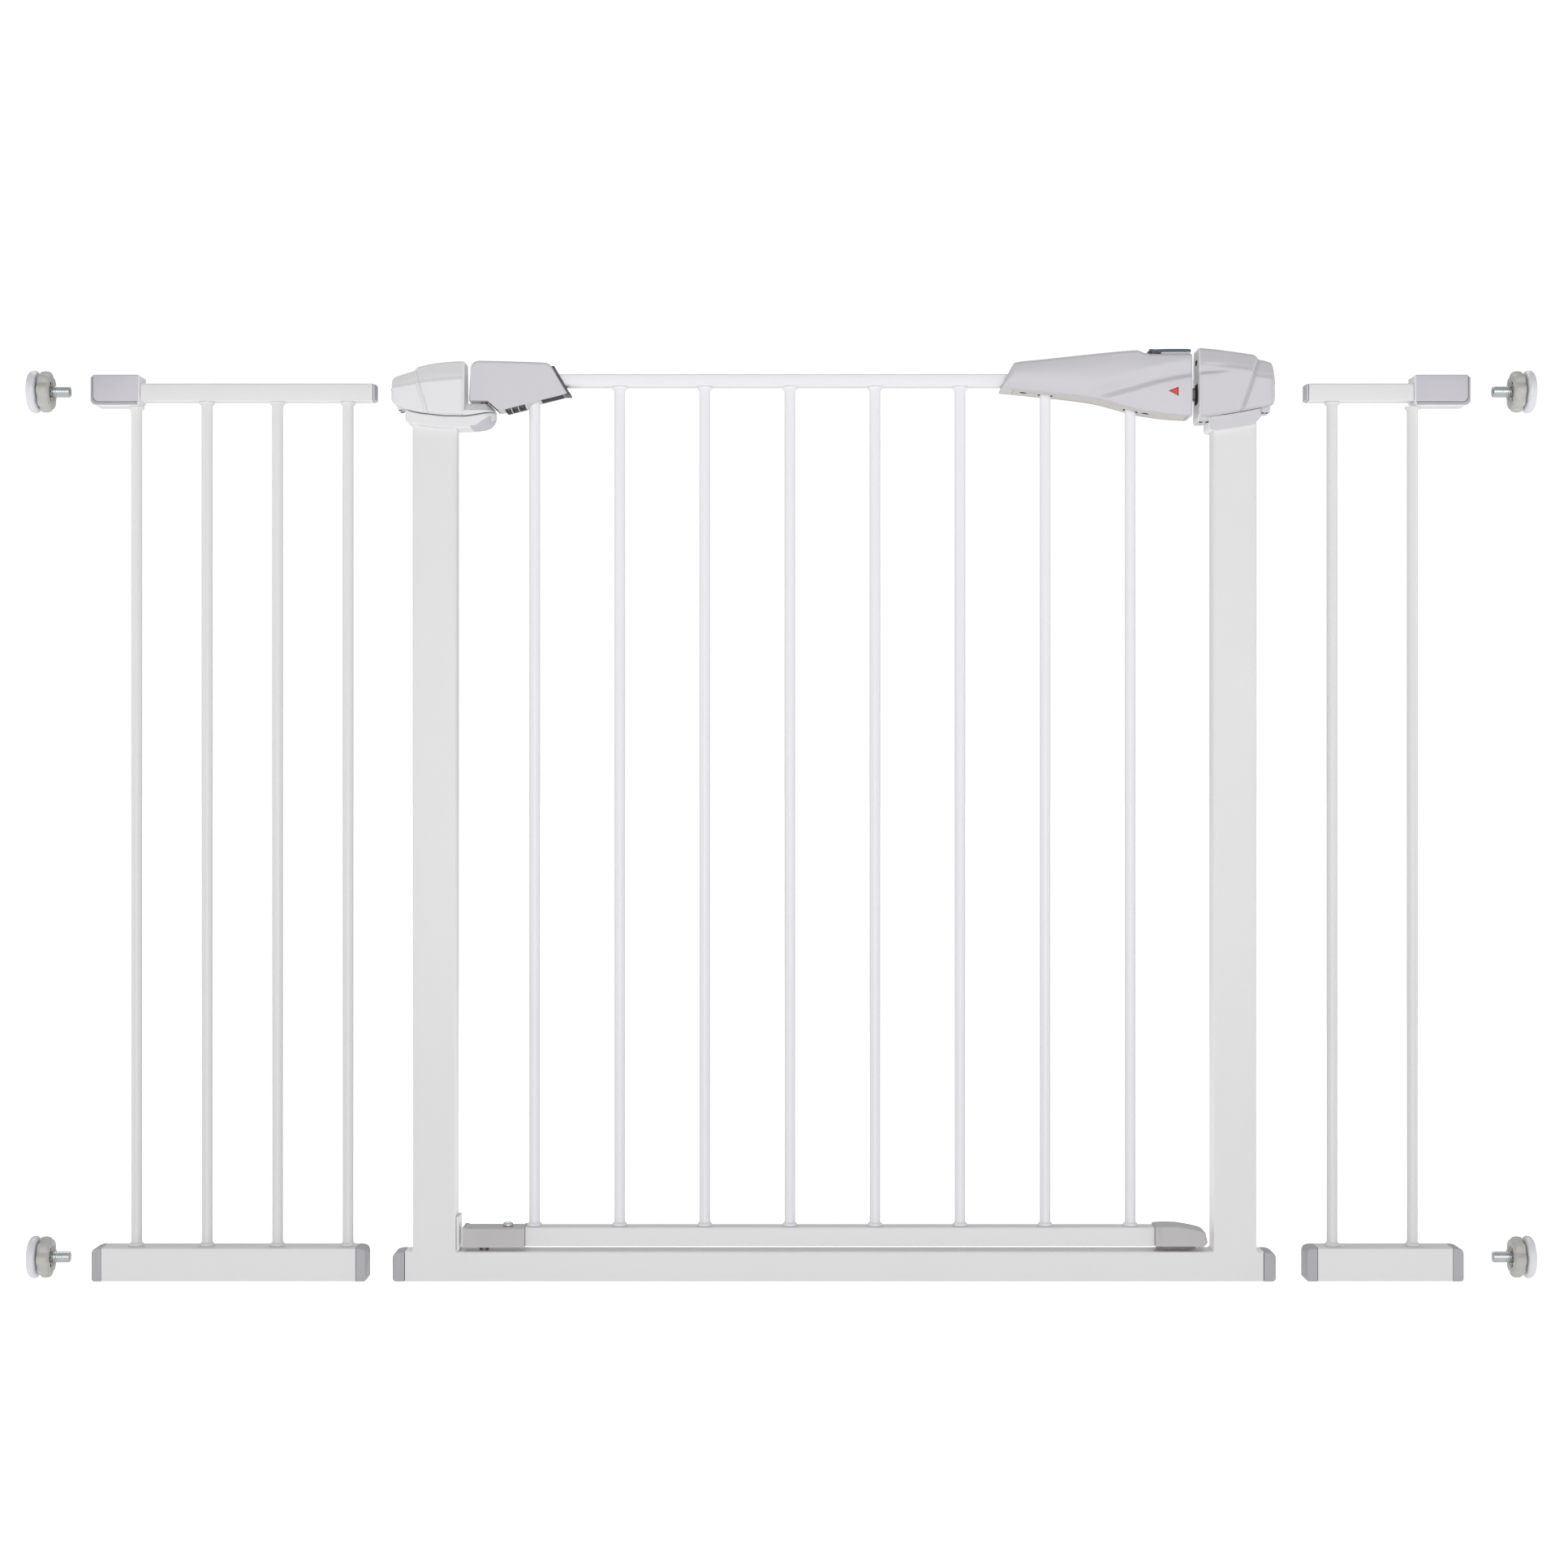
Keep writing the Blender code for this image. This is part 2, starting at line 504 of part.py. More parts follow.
def clear_scene():
    for obj in list(bpy.data.objects):
        bpy.data.objects.remove(obj, do_unlink=True)


def main():
    clear_scene()
    build_frame()
    build_hinge_side()
    build_latch_side()
    build_door()
    build_handle()
    build_extension(
        "left_extension", -1.0,
        {"rail": (-339.8, -342.5), "foot": (-347.1, -355.9)},
        {"socket": (-536.2, -576.7), "foot": (-567.8, -576.5)},
        [-364.3 - 58.9 * index for index in range(4)],
    )
    build_extension(
        "right_extension", 1.0,
        {"rail": (434.2, 436.9), "foot": (433.9, 443.6)},
        {"socket": (524.7, 571.0), "foot": (556.2, 565.9)},
        [458.0, 525.1],
    )
    for place, side, face in (("left", -1.0, -629.9), ("right", 1.0, 625.6)):
        build_spindle(f"{place}_upper_spindle", side, face, SPINDLE_HIGH)
        build_spindle(f"{place}_lower_spindle", side, face, SPINDLE_LOW)


main()
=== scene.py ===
"""Looks of the safety gate kit: powder-coated tubes, moulded grey housings, rubber wall pads.

Lengths are in millimetres in the part's frame unless a comment says otherwise: +X runs along the
gate towards the latch, -Y is the front and +Z is up.
"""

import math

import bmesh
import bpy
from mathutils import Matrix, Vector


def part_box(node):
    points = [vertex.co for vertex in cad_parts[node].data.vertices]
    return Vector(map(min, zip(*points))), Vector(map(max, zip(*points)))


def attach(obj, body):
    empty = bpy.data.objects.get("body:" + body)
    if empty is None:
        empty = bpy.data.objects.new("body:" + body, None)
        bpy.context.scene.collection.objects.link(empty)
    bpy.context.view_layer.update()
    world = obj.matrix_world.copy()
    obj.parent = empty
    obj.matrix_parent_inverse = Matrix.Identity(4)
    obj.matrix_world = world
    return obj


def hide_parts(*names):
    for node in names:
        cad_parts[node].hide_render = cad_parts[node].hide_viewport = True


MM = 0.001
HINGE_X = -250.5
TUBE_HALF_DEPTH = 12.5
TUBE_WALL = 1.3
COVER_HALF_DEPTH = 19.0
UPRIGHTS = ((357.2, 393.0), (-308.8, -273.0))
THRESHOLD_TOP = 25.0

# The wall bolts, and the bores that they enter.
BOLT_RADIUS = 4.7
THREAD_PITCH = 1.5
THREAD_DEPTH = 0.1
BORE_RADIUS = 5.3
UPPER_BORE_Z = 741.5
LOWER_BORE_Z = 18.5

# Room for the hinge pins, and what passes through the handle's floor.
PIN_ROOM_RADIUS = 3.2
SHOE_ROOM_RADIUS = 4.1
HANDLE_BARS = (218.2, 289.3)
HANDLE_SCREWS = ((199.5, 740.3), (301.5, 722.9))

# The camera sees the backdrop and the floor brighter than the light that they give.
AMBIENT = 0.30
REFLECTED = 0.55
BACKDROP = 1.05
FLOOR_BOUNCE = 0.40
FLOOR_GLOW = 0.9

# The floor's half width in metres, and how far below the gate it lies.
FLOOR_HALF = 60.0
FLOOR_DROP = 0.3

# Name, place, height aimed at, width, height (all in metres) and watts.
LIGHTS = (
    ("front_box", (0.15, -3.0, 0.85), 0.4, 3.6, 1.5, 35.5),
    ("top_box", (-0.2, 1.3, 2.5), 0.4, 2.6, 1.2, 18.0),
    ("left_box", (-2.6, -0.3, 0.7), 0.5, 1.6, 1.4, 10.0),
    ("right_box", (2.6, -0.3, 0.7), 0.5, 1.6, 1.4, 8.0),
)

# The camera's place, and the width that it sees at the gate's middle plane.
CAMERA_DISTANCE = 2200.0
CAMERA_HEIGHT = 413.8
VIEW_WIDTH = 1310.5
SENSOR_WIDTH = 36.0

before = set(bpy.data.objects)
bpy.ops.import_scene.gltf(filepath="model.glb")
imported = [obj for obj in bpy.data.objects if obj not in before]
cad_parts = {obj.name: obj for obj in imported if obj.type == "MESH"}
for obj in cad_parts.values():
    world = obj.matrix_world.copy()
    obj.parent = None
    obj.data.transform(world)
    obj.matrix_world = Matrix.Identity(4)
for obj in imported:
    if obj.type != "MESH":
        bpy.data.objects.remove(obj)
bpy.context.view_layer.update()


# ---- small helpers

def span(node):
    """A CAD node's lowest and highest corners in millimetres."""
    low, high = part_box(node)
    return [value / MM for value in low], [value / MM for value in high]


def smooth(value, start, end):
    """0 before start, 1 after end, and an S-curve between them."""
    if start == end:
        return 0.0 if value < start else 1.0
    t = min(1.0, max(0.0, (value - start) / (end - start)))
    return t * t * (3.0 - 2.0 * t)


def curve(knots):
    """A function that passes smoothly through knots of (x, value) and never overshoots them."""
    xs = [knot[0] for knot in knots]
    ys = [knot[1] for knot in knots]
    count = len(knots)
    slopes = [(ys[i + 1] - ys[i]) / (xs[i + 1] - xs[i]) for i in range(count - 1)]
    tangents = [slopes[0]]
    for i in range(1, count - 1):
        before, after = slopes[i - 1], slopes[i]
        tangents.append(0.0 if before * after <= 0 else 2 * before * after / (before + after))
    tangents.append(slopes[-1])

    def value(x):
        if x <= xs[0]:
            return ys[0]
        if x >= xs[-1]:
            return ys[-1]
        i = max(k for k in range(count - 1) if xs[k] <= x)
        width = xs[i + 1] - xs[i]
        t = (x - xs[i]) / width
        return (
            ys[i] * (1 + 2 * t) * (1 - t) ** 2 + tangents[i] * width * t * (1 - t) ** 2
            + ys[i + 1] * t * t * (3 - 2 * t) + tangents[i + 1] * width * t * t * (t - 1)
        )

    return value


def offset_from(path, x, z):
    """Distance in X and Z from a point to a path, positive on the left of the path's direction."""
    best, side = 1e9, 1.0
    for (x0, z0), (x1, z1) in zip(path, path[1:]):
        dx, dz = x1 - x0, z1 - z0
        length = dx * dx + dz * dz
        t = min(1.0, max(0.0, ((x - x0) * dx + (z - z0) * dz) / length))
        gap = math.hypot(x - x0 - t * dx, z - z0 - t * dz)
        if gap < best:
            best = gap
            side = 1.0 if dx * (z - z0) - dz * (x - x0) > 0 else -1.0
    return best * side


# ---- meshes

def add_object(name, data):
    """An object in the scene's own collection."""
    obj = bpy.data.objects.new(name, data)
    bpy.context.scene.collection.objects.link(obj)
    return obj


def add_mesh(name, rings, material, sharp=35.0, tags=None, closed=False):
    """One object from a stack of equal rings of points, smooth except at sharp edges."""
    points, faces = skin(rings, closed)
    mesh = bpy.data.meshes.new(name)
    mesh.from_pydata([[value * MM for value in point] for point in points], [], faces)
    body = bmesh.new()
    body.from_mesh(mesh)
    bmesh.ops.recalc_face_normals(body, faces=body.faces)
    body.to_mesh(mesh)
    body.free()
    obj = add_object(name, mesh)
    materials = material if isinstance(material, (list, tuple)) else [material]
    for entry in materials:
        mesh.materials.append(entry)
    if tags:
        for polygon in mesh.polygons:
            polygon.material_index = tags(polygon)
    mesh.shade_smooth()
    mesh.set_sharp_from_angle(angle=math.radians(sharp))
    return obj


def skin(rings, closed):
    """Points and faces of a stack of equal rings, capped unless it closes on itself."""
    size = len(rings[0])
    points = [point for ring in rings for point in ring]
    faces = []
    for number in range(len(rings) if closed else len(rings) - 1):
        low = number * size
        high = (number + 1) % len(rings) * size
        for index in range(size):
            following = (index + 1) % size
            faces.append((low + index, low + following, high + following, high + index))
    if not closed:
        faces.append(tuple(range(size)))
        faces.append(tuple(range(len(points) - size, len(points))))
    return points, faces


def section(low, high, half, r_low, r_high, sides, flats, turns=7):
    """A rounded rectangle of Y and Z, with evenly spread points on its flat sides."""
    r_low = max(0.01, min(r_low, half - 0.01, (high - low) / 2 - 0.01))
    r_high = max(0.01, min(r_high, half - 0.01, (high - low) / 2 - 0.01))
    corners = [
        (half - r_low, low + r_low, r_low, -90), (half - r_high, high - r_high, r_high, 0),
        (r_high - half, high - r_high, r_high, 90), (r_low - half, low + r_low, r_low, 180),
    ]
    points = []
    for index, (cy, cz, radius, start) in enumerate(corners):
        for step in range(turns + 1):
            angle = math.radians(start + 90.0 * step / turns)
            points.append((cy + radius * math.cos(angle), cz + radius * math.sin(angle)))
        last = points[-1]
        ny, nz, nr, begin = corners[(index + 1) % 4]
        angle = math.radians(begin)
        target = (ny + nr * math.cos(angle), nz + nr * math.sin(angle))
        count = sides if index in (0, 2) else flats
        for step in range(1, count):
            t = step / count
            points.append((last[0] + (target[0] - last[0]) * t, last[1] + (target[1] - last[1]) * t))
    return points


def quarter(radius, depth):
    """How far a rounded corner has receded at some depth from the end."""
    if depth >= radius:
        return 0.0
    return radius - math.sqrt(max(0.0, radius * radius - (radius - depth) ** 2))


def stations(start, end, step, left, right):
    """X positions along a housing, crowded towards its rounded ends."""
    xs = {round(start, 4), round(end, 4)}
    for radius, origin, sense in ((left, start, 1), (right, end, -1)):
        for number in range(9):
            xs.add(round(origin + sense * radius * (1 - math.cos(math.pi / 2 * number / 8)), 4))
    count = max(2, int((end - start - left - right) / step))
    for number in range(count + 1):
        xs.add(round(start + left + (end - start - left - right) * number / count, 4))
    return sorted(xs)


def housing(name, x_range, low, high, half, material, r_low, r_high, ends, turn, step, sides, flats,
            shape=None, sharp=40.0, tags=None, crowd=None):
    """Loft rounded sections along X, then let shape() move each point.

    low, high and half are functions of X. The ends are rounded by ends in Z and by turn in Y, or by
    ends in both, and crowd gives the lengths over which the sections stand closer together.
    """
    start, end = x_range
    turn = turn or ends
    crowd = crowd or (max(ends[0], turn[0]), max(ends[1], turn[1]))
    rings = []
    for x in stations(start, end, step, *crowd):
        rise = quarter(ends[0], x - start) + quarter(ends[1], end - x)
        pinch = quarter(turn[0], x - start) + quarter(turn[1], end - x)
        bottom, top = low(x), high(x)
        rise = min(rise, (top - bottom) / 2 - 0.1)
        outline = section(bottom + rise, top - rise, half(x) - pinch, max(0.3, r_low - rise),
                          max(0.3, r_high - rise), sides, flats)
        rings.append([(x, y, z) for y, z in outline])
    if shape:
        rings = [[shape(*point) for point in ring] for ring in rings]
    return add_mesh(name, rings, material, sharp, tags)


def lathe(name, axis, centre, profile, material, segments, closed=False, swell=None, sharp=35.0):
    """Turn (radius, position) about X or Z; swell(angle, radius) adds to the radius."""
    rings = []
    for radius, position in profile:
        ring = []
        for index in range(segments):
            angle = 2 * math.pi * index / segments
            r = radius + (swell(angle, radius) if swell else 0.0)
            a, b = r * math.cos(angle), r * math.sin(angle)
            if axis == "X":
                ring.append((position, centre[0] + a, centre[1] + b))
            else:
                ring.append((centre[0] + a, centre[1] + b, position))
        rings.append(ring)
    return add_mesh(name, rings, material, sharp, closed=closed)


def block(name, low, high, radius, material, segments):
    """A box with every edge rounded."""
    body = bmesh.new()
    bmesh.ops.create_cube(body, size=1.0)
    for vertex in body.verts:
        for axis in range(3):
            middle, size = (low[axis] + high[axis]) / 2, high[axis] - low[axis]
            vertex.co[axis] = (middle + vertex.co[axis] * size) * MM
    bmesh.ops.bevel(body, geom=list(body.edges), offset=radius * MM, segments=segments, profile=0.5,
                    affect="EDGES", clamp_overlap=True)
    mesh = bpy.data.meshes.new(name)
    body.to_mesh(mesh)
    body.free()
    obj = add_object(name, mesh)
    mesh.materials.append(material)
    mesh.shade_smooth()
    mesh.set_sharp_from_angle(angle=math.radians(50))
    return obj


def prism(name, outline, front, back, material):
    """An outline of X and Z extruded along Y."""
    rings = [[(x, y, z) for x, z in outline] for y in (front, back)]
    return add_mesh(name, rings, material)


def inset(outline, distance):
    """Move every side of an outline inwards by one distance."""
    area = sum(a[0] * b[1] - b[0] * a[1] for a, b in zip(outline, outline[1:] + outline[:1]))
    turning = 1.0 if area > 0 else -1.0
    moved = []
    for index, here in enumerate(outline):
        before, after = outline[index - 1], outline[(index + 1) % len(outline)]
        normals = []
        for start, end in ((before, here), (here, after)):
            length = math.dist(start, end)
            normals.append(((start[1] - end[1]) / length * turning, (end[0] - start[0]) / length * turning))
        scale = distance / (1.0 + normals[0][0] * normals[1][0] + normals[0][1] * normals[1][1])
        moved.append((here[0] + scale * (normals[0][0] + normals[1][0]),
                      here[1] + scale * (normals[0][1] + normals[1][1])))
    return moved


def rounded(corners):
    """An outline from corners of (x, z, radius)."""
    steps = 6
    outline = []
    for index, (x, z, radius) in enumerate(corners):
        if radius <= 0:
            outline.append((x, z))
            continue
        here = Vector((x, z))
        before = (Vector(corners[index - 1][:2]) - here).normalized()
        after = (Vector(corners[(index + 1) % len(corners)][:2]) - here).normalized()
        half = math.acos(max(-1.0, min(1.0, before.dot(after)))) / 2
        centre = here + (before + after).normalized() * (radius / math.sin(half))
        first = here + before * (radius / math.tan(half)) - centre
        last = here + after * (radius / math.tan(half)) - centre
        sweep = first.angle_signed(last)
        for number in range(steps + 1):
            arm = first.copy()
            arm.rotate(Matrix.Rotation(-sweep * number / steps, 2))
            outline.append((centre.x + arm.x, centre.y + arm.y))
    return outline


def slab(name, outline, front, back, edge, material, steps, tags=None):
    """An outline of X and Z extruded along Y, with its front and back edges rounded."""
    middle, half = (front + back) / 2, (back - front) / 2
    rings = []
    for number in range(steps + 1):
        angle = math.pi / 2 * number / steps
        ring = inset(outline, edge * (1.0 - math.sin(angle)))
        rings.append((ring, half - edge + edge * math.cos(angle)))
    stack = [[(x, middle - depth, z) for x, z in ring] for ring, depth in rings]
    stack += [[(x, middle + depth, z) for x, z in ring] for ring, depth in reversed(rings)]
    return add_mesh(name, stack, material, 40.0, tags)


def plug(name, axis, centre, radius, start, end, material, segments=32):
    """A plain round solid, used as a cutter."""
    return lathe(name, axis, centre, [(radius, start), (radius, end)], material, segments)


def pin_room(radius, start, end, material):
    """A cutter round the hinge axis."""
    return plug("pin_room", "Z", (HINGE_X, 0.0), radius, start, end, material)


def carve(obj, *cutters):
    """Cut solids out of an object and drop them."""
    for cutter in cutters:
        modifier = obj.modifiers.new("cut", "BOOLEAN")
        modifier.operation = "DIFFERENCE"
        modifier.solver = "EXACT"
        modifier.material_mode = "TRANSFER"
        modifier.object = cutter
    bpy.context.view_layer.update()
    graph = bpy.context.evaluated_depsgraph_get()
    mesh = bpy.data.meshes.new_from_object(obj.evaluated_get(graph))
    obj.modifiers.clear()
    obj.data = mesh
    mesh.set_sharp_from_angle(angle=math.radians(35))
    for cutter in cutters:
        bpy.data.objects.remove(cutter, do_unlink=True)
    return obj


def place(obj, body, slot, *nodes):
    """Attach a piece to its body and hide the CAD nodes that it stands for; slot, the name of its finish, is
    not used.
    """
    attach(obj, body)
    if nodes:
        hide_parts(*nodes)
    return obj


def ordered(low, high, side):
    """A box's two X ends, first the one nearer the gate's middle."""
    return (low[0], high[0]) if side > 0 else (high[0], low[0])


def push_in(point, inward):
    """Move a point towards the middle plane, and no further than that."""
    x, y, z = point
    return x, y - math.copysign(min(abs(y), inward), y), z


def profile_from(start, sense, points):
    """A profile of (radius, position) from points of (radius, distance from the start)."""
    return [(radius, start + sense * distance) for radius, distance in points]


def screws(name, spots, profile, material, segments):
    """Screw heads in a fixed housing, turned from one (radius, z) profile."""
    for number, spot in enumerate(spots):
        place(lathe(f"{name}_{number}", "Z", spot, profile, material, segments), "frame", "grey_abs")


# ---- materials

def set_inputs(node, **values):
    """Set a node's sockets; a keyword has underscores where the socket's name has spaces."""
    for name, value in values.items():
        node.inputs[name.replace("_", " ")].default_value = value


class Finish:
    """A Principled material with a few procedural layers."""

    def __init__(self, name, color, roughness, **sockets):
        self.material = bpy.data.materials.new(name)
        self.material.use_nodes = True
        self.nodes = self.material.node_tree.nodes
        self.links = self.material.node_tree.links
        self.shader = self.nodes["Principled BSDF"]
        set_inputs(self.shader, Roughness=roughness, Base_Color=(*color, 1.0), **sockets)
        self.color = color
        self.place = self.nodes.new("ShaderNodeTexCoord").outputs["Object"]
        self.height = None

    def noise(self, scale, detail):
        """A noise value between 0 and 1 in the piece's own space."""
        node = self.nodes.new("ShaderNodeTexNoise")
        set_inputs(node, Scale=scale, Detail=detail)
        self.links.new(self.place, node.inputs["Vector"])
        return node.outputs["Fac"]

    def spread(self, value, low, high):
        """Map a noise value onto a range."""
        node = self.nodes.new("ShaderNodeMapRange")
        set_inputs(node, From_Min=0.3, From_Max=0.7, To_Min=low, To_Max=high)
        self.links.new(value, node.inputs["Value"])
        return node.outputs["Result"]

    def mottle(self, scale, amount, tint):
        """Let the colour drift a little darker, and towards a tint, in soft patches."""
        mix = self.nodes.new("ShaderNodeMix")
        mix.data_type = "RGBA"
        dark = [channel * (1.0 - amount) * t for channel, t in zip(self.color, tint)]
        set_inputs(mix, A=(*self.color, 1.0), B=(*dark, 1.0))
        self.links.new(self.spread(self.noise(scale, 3.0), 0.0, 1.0), mix.inputs["Factor"])
        self.links.new(mix.outputs["Result"], self.shader.inputs["Base Color"])

    def gloss(self, scale, low, high):
        """Vary the roughness in patches."""
        self.links.new(self.spread(self.noise(scale, 3.0), low, high), self.shader.inputs["Roughness"])

    def grain(self, scale, depth):
        """Add a fine relief; layers stack."""
        bump = self.nodes.new("ShaderNodeBump")
        set_inputs(bump, Strength=1.0, Distance=depth * MM)
        self.links.new(self.noise(scale, 2.0), bump.inputs["Height"])
        if self.height:
            self.links.new(self.height, bump.inputs["Normal"])
        self.height = bump.outputs["Normal"]
        self.links.new(self.height, self.shader.inputs["Normal"])


def srgb(color):
    """A display colour of 0 to 255 as linear values."""
    levels = [value / 255 for value in color]
    return tuple(v / 12.92 if v <= 0.04045 else ((v + 0.055) / 1.055) ** 2.4 for v in levels)


def finish(name, color, roughness, mottle, gloss, grains, tint=(1.0, 1.0, 1.0), **sockets):
    """A material from a display colour, its layers' settings and further shader sockets."""
    made = Finish(name, srgb(color), roughness, **sockets)
    made.mottle(*mottle, tint)
    if gloss:
        made.gloss(*gloss)
    for layer in grains:
        made.grain(*layer)
    return made.material


WHITE = finish(
    "white_powder_coat", (225, 224, 225), 0.34, (14.0, 0.012), (40.0, 0.31, 0.37),
    [(700.0, 0.01), (160.0, 0.008)], Coat_Weight=0.25, Coat_Roughness=0.14)
BAR = finish(
    "bar_powder_coat", (236, 235, 239), 0.36, (20.0, 0.01), (50.0, 0.29, 0.34),
    [(700.0, 0.008)], Coat_Weight=0.2, Coat_Roughness=0.12)
GREY = finish(
    "grey_moulded_shell", (203, 201, 206), 0.30, (18.0, 0.01), (60.0, 0.29, 0.34),
    [(1400.0, 0.01)], Coat_Weight=0.15, Coat_Roughness=0.2)
LIGHT = finish(
    "light_moulded_shell", (226, 225, 228), 0.30, (18.0, 0.01), (60.0, 0.29, 0.34),
    [(1400.0, 0.01)], Coat_Weight=0.15, Coat_Roughness=0.2)
FLOOR_PLATE = finish(
    "pale_moulded_floor", (204, 199, 194), 0.42, (30.0, 0.03), (60.0, 0.38, 0.48),
    [(1100.0, 0.012)])
SOCKET = finish(
    "socket_moulding", (196, 194, 201), 0.34, (25.0, 0.03), (60.0, 0.3, 0.42),
    [(1300.0, 0.01)], Coat_Weight=0.1)
RIM = finish(
    "socket_rim_moulding", (178, 176, 182), 0.36, (25.0, 0.03), (60.0, 0.3, 0.42),
    [(1300.0, 0.01)], Coat_Weight=0.1)
CAP = finish("cap_moulding", (176, 175, 179), 0.45, (30.0, 0.05), (70.0, 0.4, 0.52), [(1000.0, 0.02)])
SHOE = finish("shoe_moulding", (188, 185, 187), 0.42, (30.0, 0.05), (70.0, 0.38, 0.5), [(1000.0, 0.02)])
# Painted shade: a dark grey for the door hinge cover's open end, pockets, notch underside and pin room,
# standing for shade, not for a darker plastic.
PAINTED_SHADE_CORE = finish("painted_shade_core", (84, 84, 88), 0.5, (60.0, 0.15), (80.0, 0.42, 0.6), [(900.0, 0.03)])
SLIDER = finish("slider_moulding", (70, 84, 92), 0.45, (50.0, 0.1), (80.0, 0.34, 0.46), [(1200.0, 0.02)])
RED = finish(
    "marker_red", (228, 14, 24), 0.38, (120.0, 0.12), (90.0, 0.25, 0.36),
    [(1500.0, 0.01)], Coat_Weight=0.1, Coat_Roughness=0.2)
WHEEL = finish("wheel_moulding", (192, 191, 186), 0.40, (70.0, 0.08), (80.0, 0.34, 0.46), [(900.0, 0.03)])
PAD = finish(
    "clear_pad_rubber", (224, 225, 230), 0.28, (60.0, 0.03), (70.0, 0.3, 0.42),
    [(800.0, 0.008)], Coat_Weight=0.4, Coat_Roughness=0.2)
ZINC = finish(
    "zinc_plate", (196, 200, 204), 0.22, (120.0, 0.12), (150.0, 0.16, 0.3),
    [(1600.0, 0.004)], tint=(1.02, 1.0, 0.94), Metallic=1.0)
STEEL = finish(
    "dark_steel", (128, 118, 118), 0.35, (150.0, 0.2), (150.0, 0.28, 0.45),
    [(1500.0, 0.01)], Metallic=0.9)
GAP = finish("gap_shadow", (120, 118, 126), 0.6, (60.0, 0.1), None, [(900.0, 0.02)])
# Painted light: a paler copy of the white coat for tops, sides and undersides that the studio light burns
# out, and for the hinge arm under the door cover's shade; it stands for light, not for a paler coat.
PAINTED_LIGHT_WHITE = finish(
    "painted_light_white", (250, 249, 250), 0.34, (14.0, 0.01), (40.0, 0.31, 0.37),
    [(700.0, 0.01)], Coat_Weight=0.5, Coat_Roughness=0.14)
HOLE = finish("hole_shadow", (34, 34, 38), 0.7, (80.0, 0.2), None, [(900.0, 0.02)])


# ---- tubes and bars

def facing_x(sense):
    """Material 1, the paler white of painted light, for the faces that look along X in one sense, 0 for the
    rest.
    """
    return lambda polygon: 1 if polygon.normal.x * sense > 0.7 else 0


def facing_down(polygon):
    """Material 1, the paler white of painted light, for the undersides, 0 for the rest."""
    return 1 if polygon.normal.z < -0.8 else 0


def facing_gate(polygon):
    """Material 1, the paler white of painted light, for undersides and for the faces that look left, 0 for
    the rest.
    """
    return 1 if facing_down(polygon) or polygon.normal.x < -0.7 else 0


def round_bar(node, body, material=BAR):
    """A bar with a smooth wall and rolled ends."""
    low, high = span(node)
    x = (low[0] + high[0]) / 2
    bottom, top = low[2], high[2]
    rolled = [(6.2, 0.0), (6.3, 0.8), (6.1, 1.7), (5.5, 2.4), (4.8, 2.8), (4.5, 3.3)]
    profile = [(radius, bottom + inward) for radius, inward in rolled]
    profile += [(radius, top - inward) for radius, inward in reversed(rolled)]
    profile += [(3.7, top), (3.7, bottom)]
    obj = lathe(node + "_look", "Z", (x, 0.0), profile, material, 40, closed=True, sharp=50.0)
    return place(obj, body, "white_steel", node)


def rail(node, body, radius, material):
    """A rectangular tube with rolled corners, open at its ends."""
    low, high = span(node)
    outer = section(low[2], high[2], high[1], radius, radius, sides=2, flats=2, turns=6)
    inner = section(low[2] + TUBE_WALL, high[2] - TUBE_WALL, high[1] - TUBE_WALL, radius - 0.8, radius - 0.8,
                    sides=2, flats=2, turns=6)
    rings = [
        [(low[0], y, z) for y, z in outer], [(high[0], y, z) for y, z in outer],
        [(high[0], y, z) for y, z in inner], [(low[0], y, z) for y, z in inner],
    ]
    # The undersides take the paler white: painted light.
    look = add_mesh(node + "_look", rings, [material, PAINTED_LIGHT_WHITE], 50.0, facing_down, closed=True)
    return place(look, body, "white_steel", node)


def build_u_frame():
    """The welded U of threshold and uprights, with a small weld fillet at the foot of each upright."""
    low, high = span("u_frame")
    top, sill = high[2], THRESHOLD_TOP
    corners = [(low[0], 0.0, 0), (high[0], 0.0, 0), (high[0], sill, 0)]
    for x0, x1 in UPRIGHTS:
        corners += [(x1, sill, min(2.4, (high[0] - x1) * 0.9)), (x1, top, 0), (x0, top, 0), (x0, sill, 2.4)]
    corners.append((low[0], sill, 0))

    def painted_light_mask(polygon):
        """Material 1, the paler white of painted light, for the faces that look up or sideways, 0 for the
        rest.
        """
        return 1 if polygon.normal.z > 0.7 or abs(polygon.normal.x) > 0.7 else 0

    frame_look = slab("u_frame_look", rounded(corners), -TUBE_HALF_DEPTH, TUBE_HALF_DEPTH, 1.5,
                      [WHITE, PAINTED_LIGHT_WHITE], 5, painted_light_mask)
    carve(frame_look, pin_room(4.0, 20.0, 30.0, WHITE))
    place(frame_look, "frame", "white_steel", "u_frame")


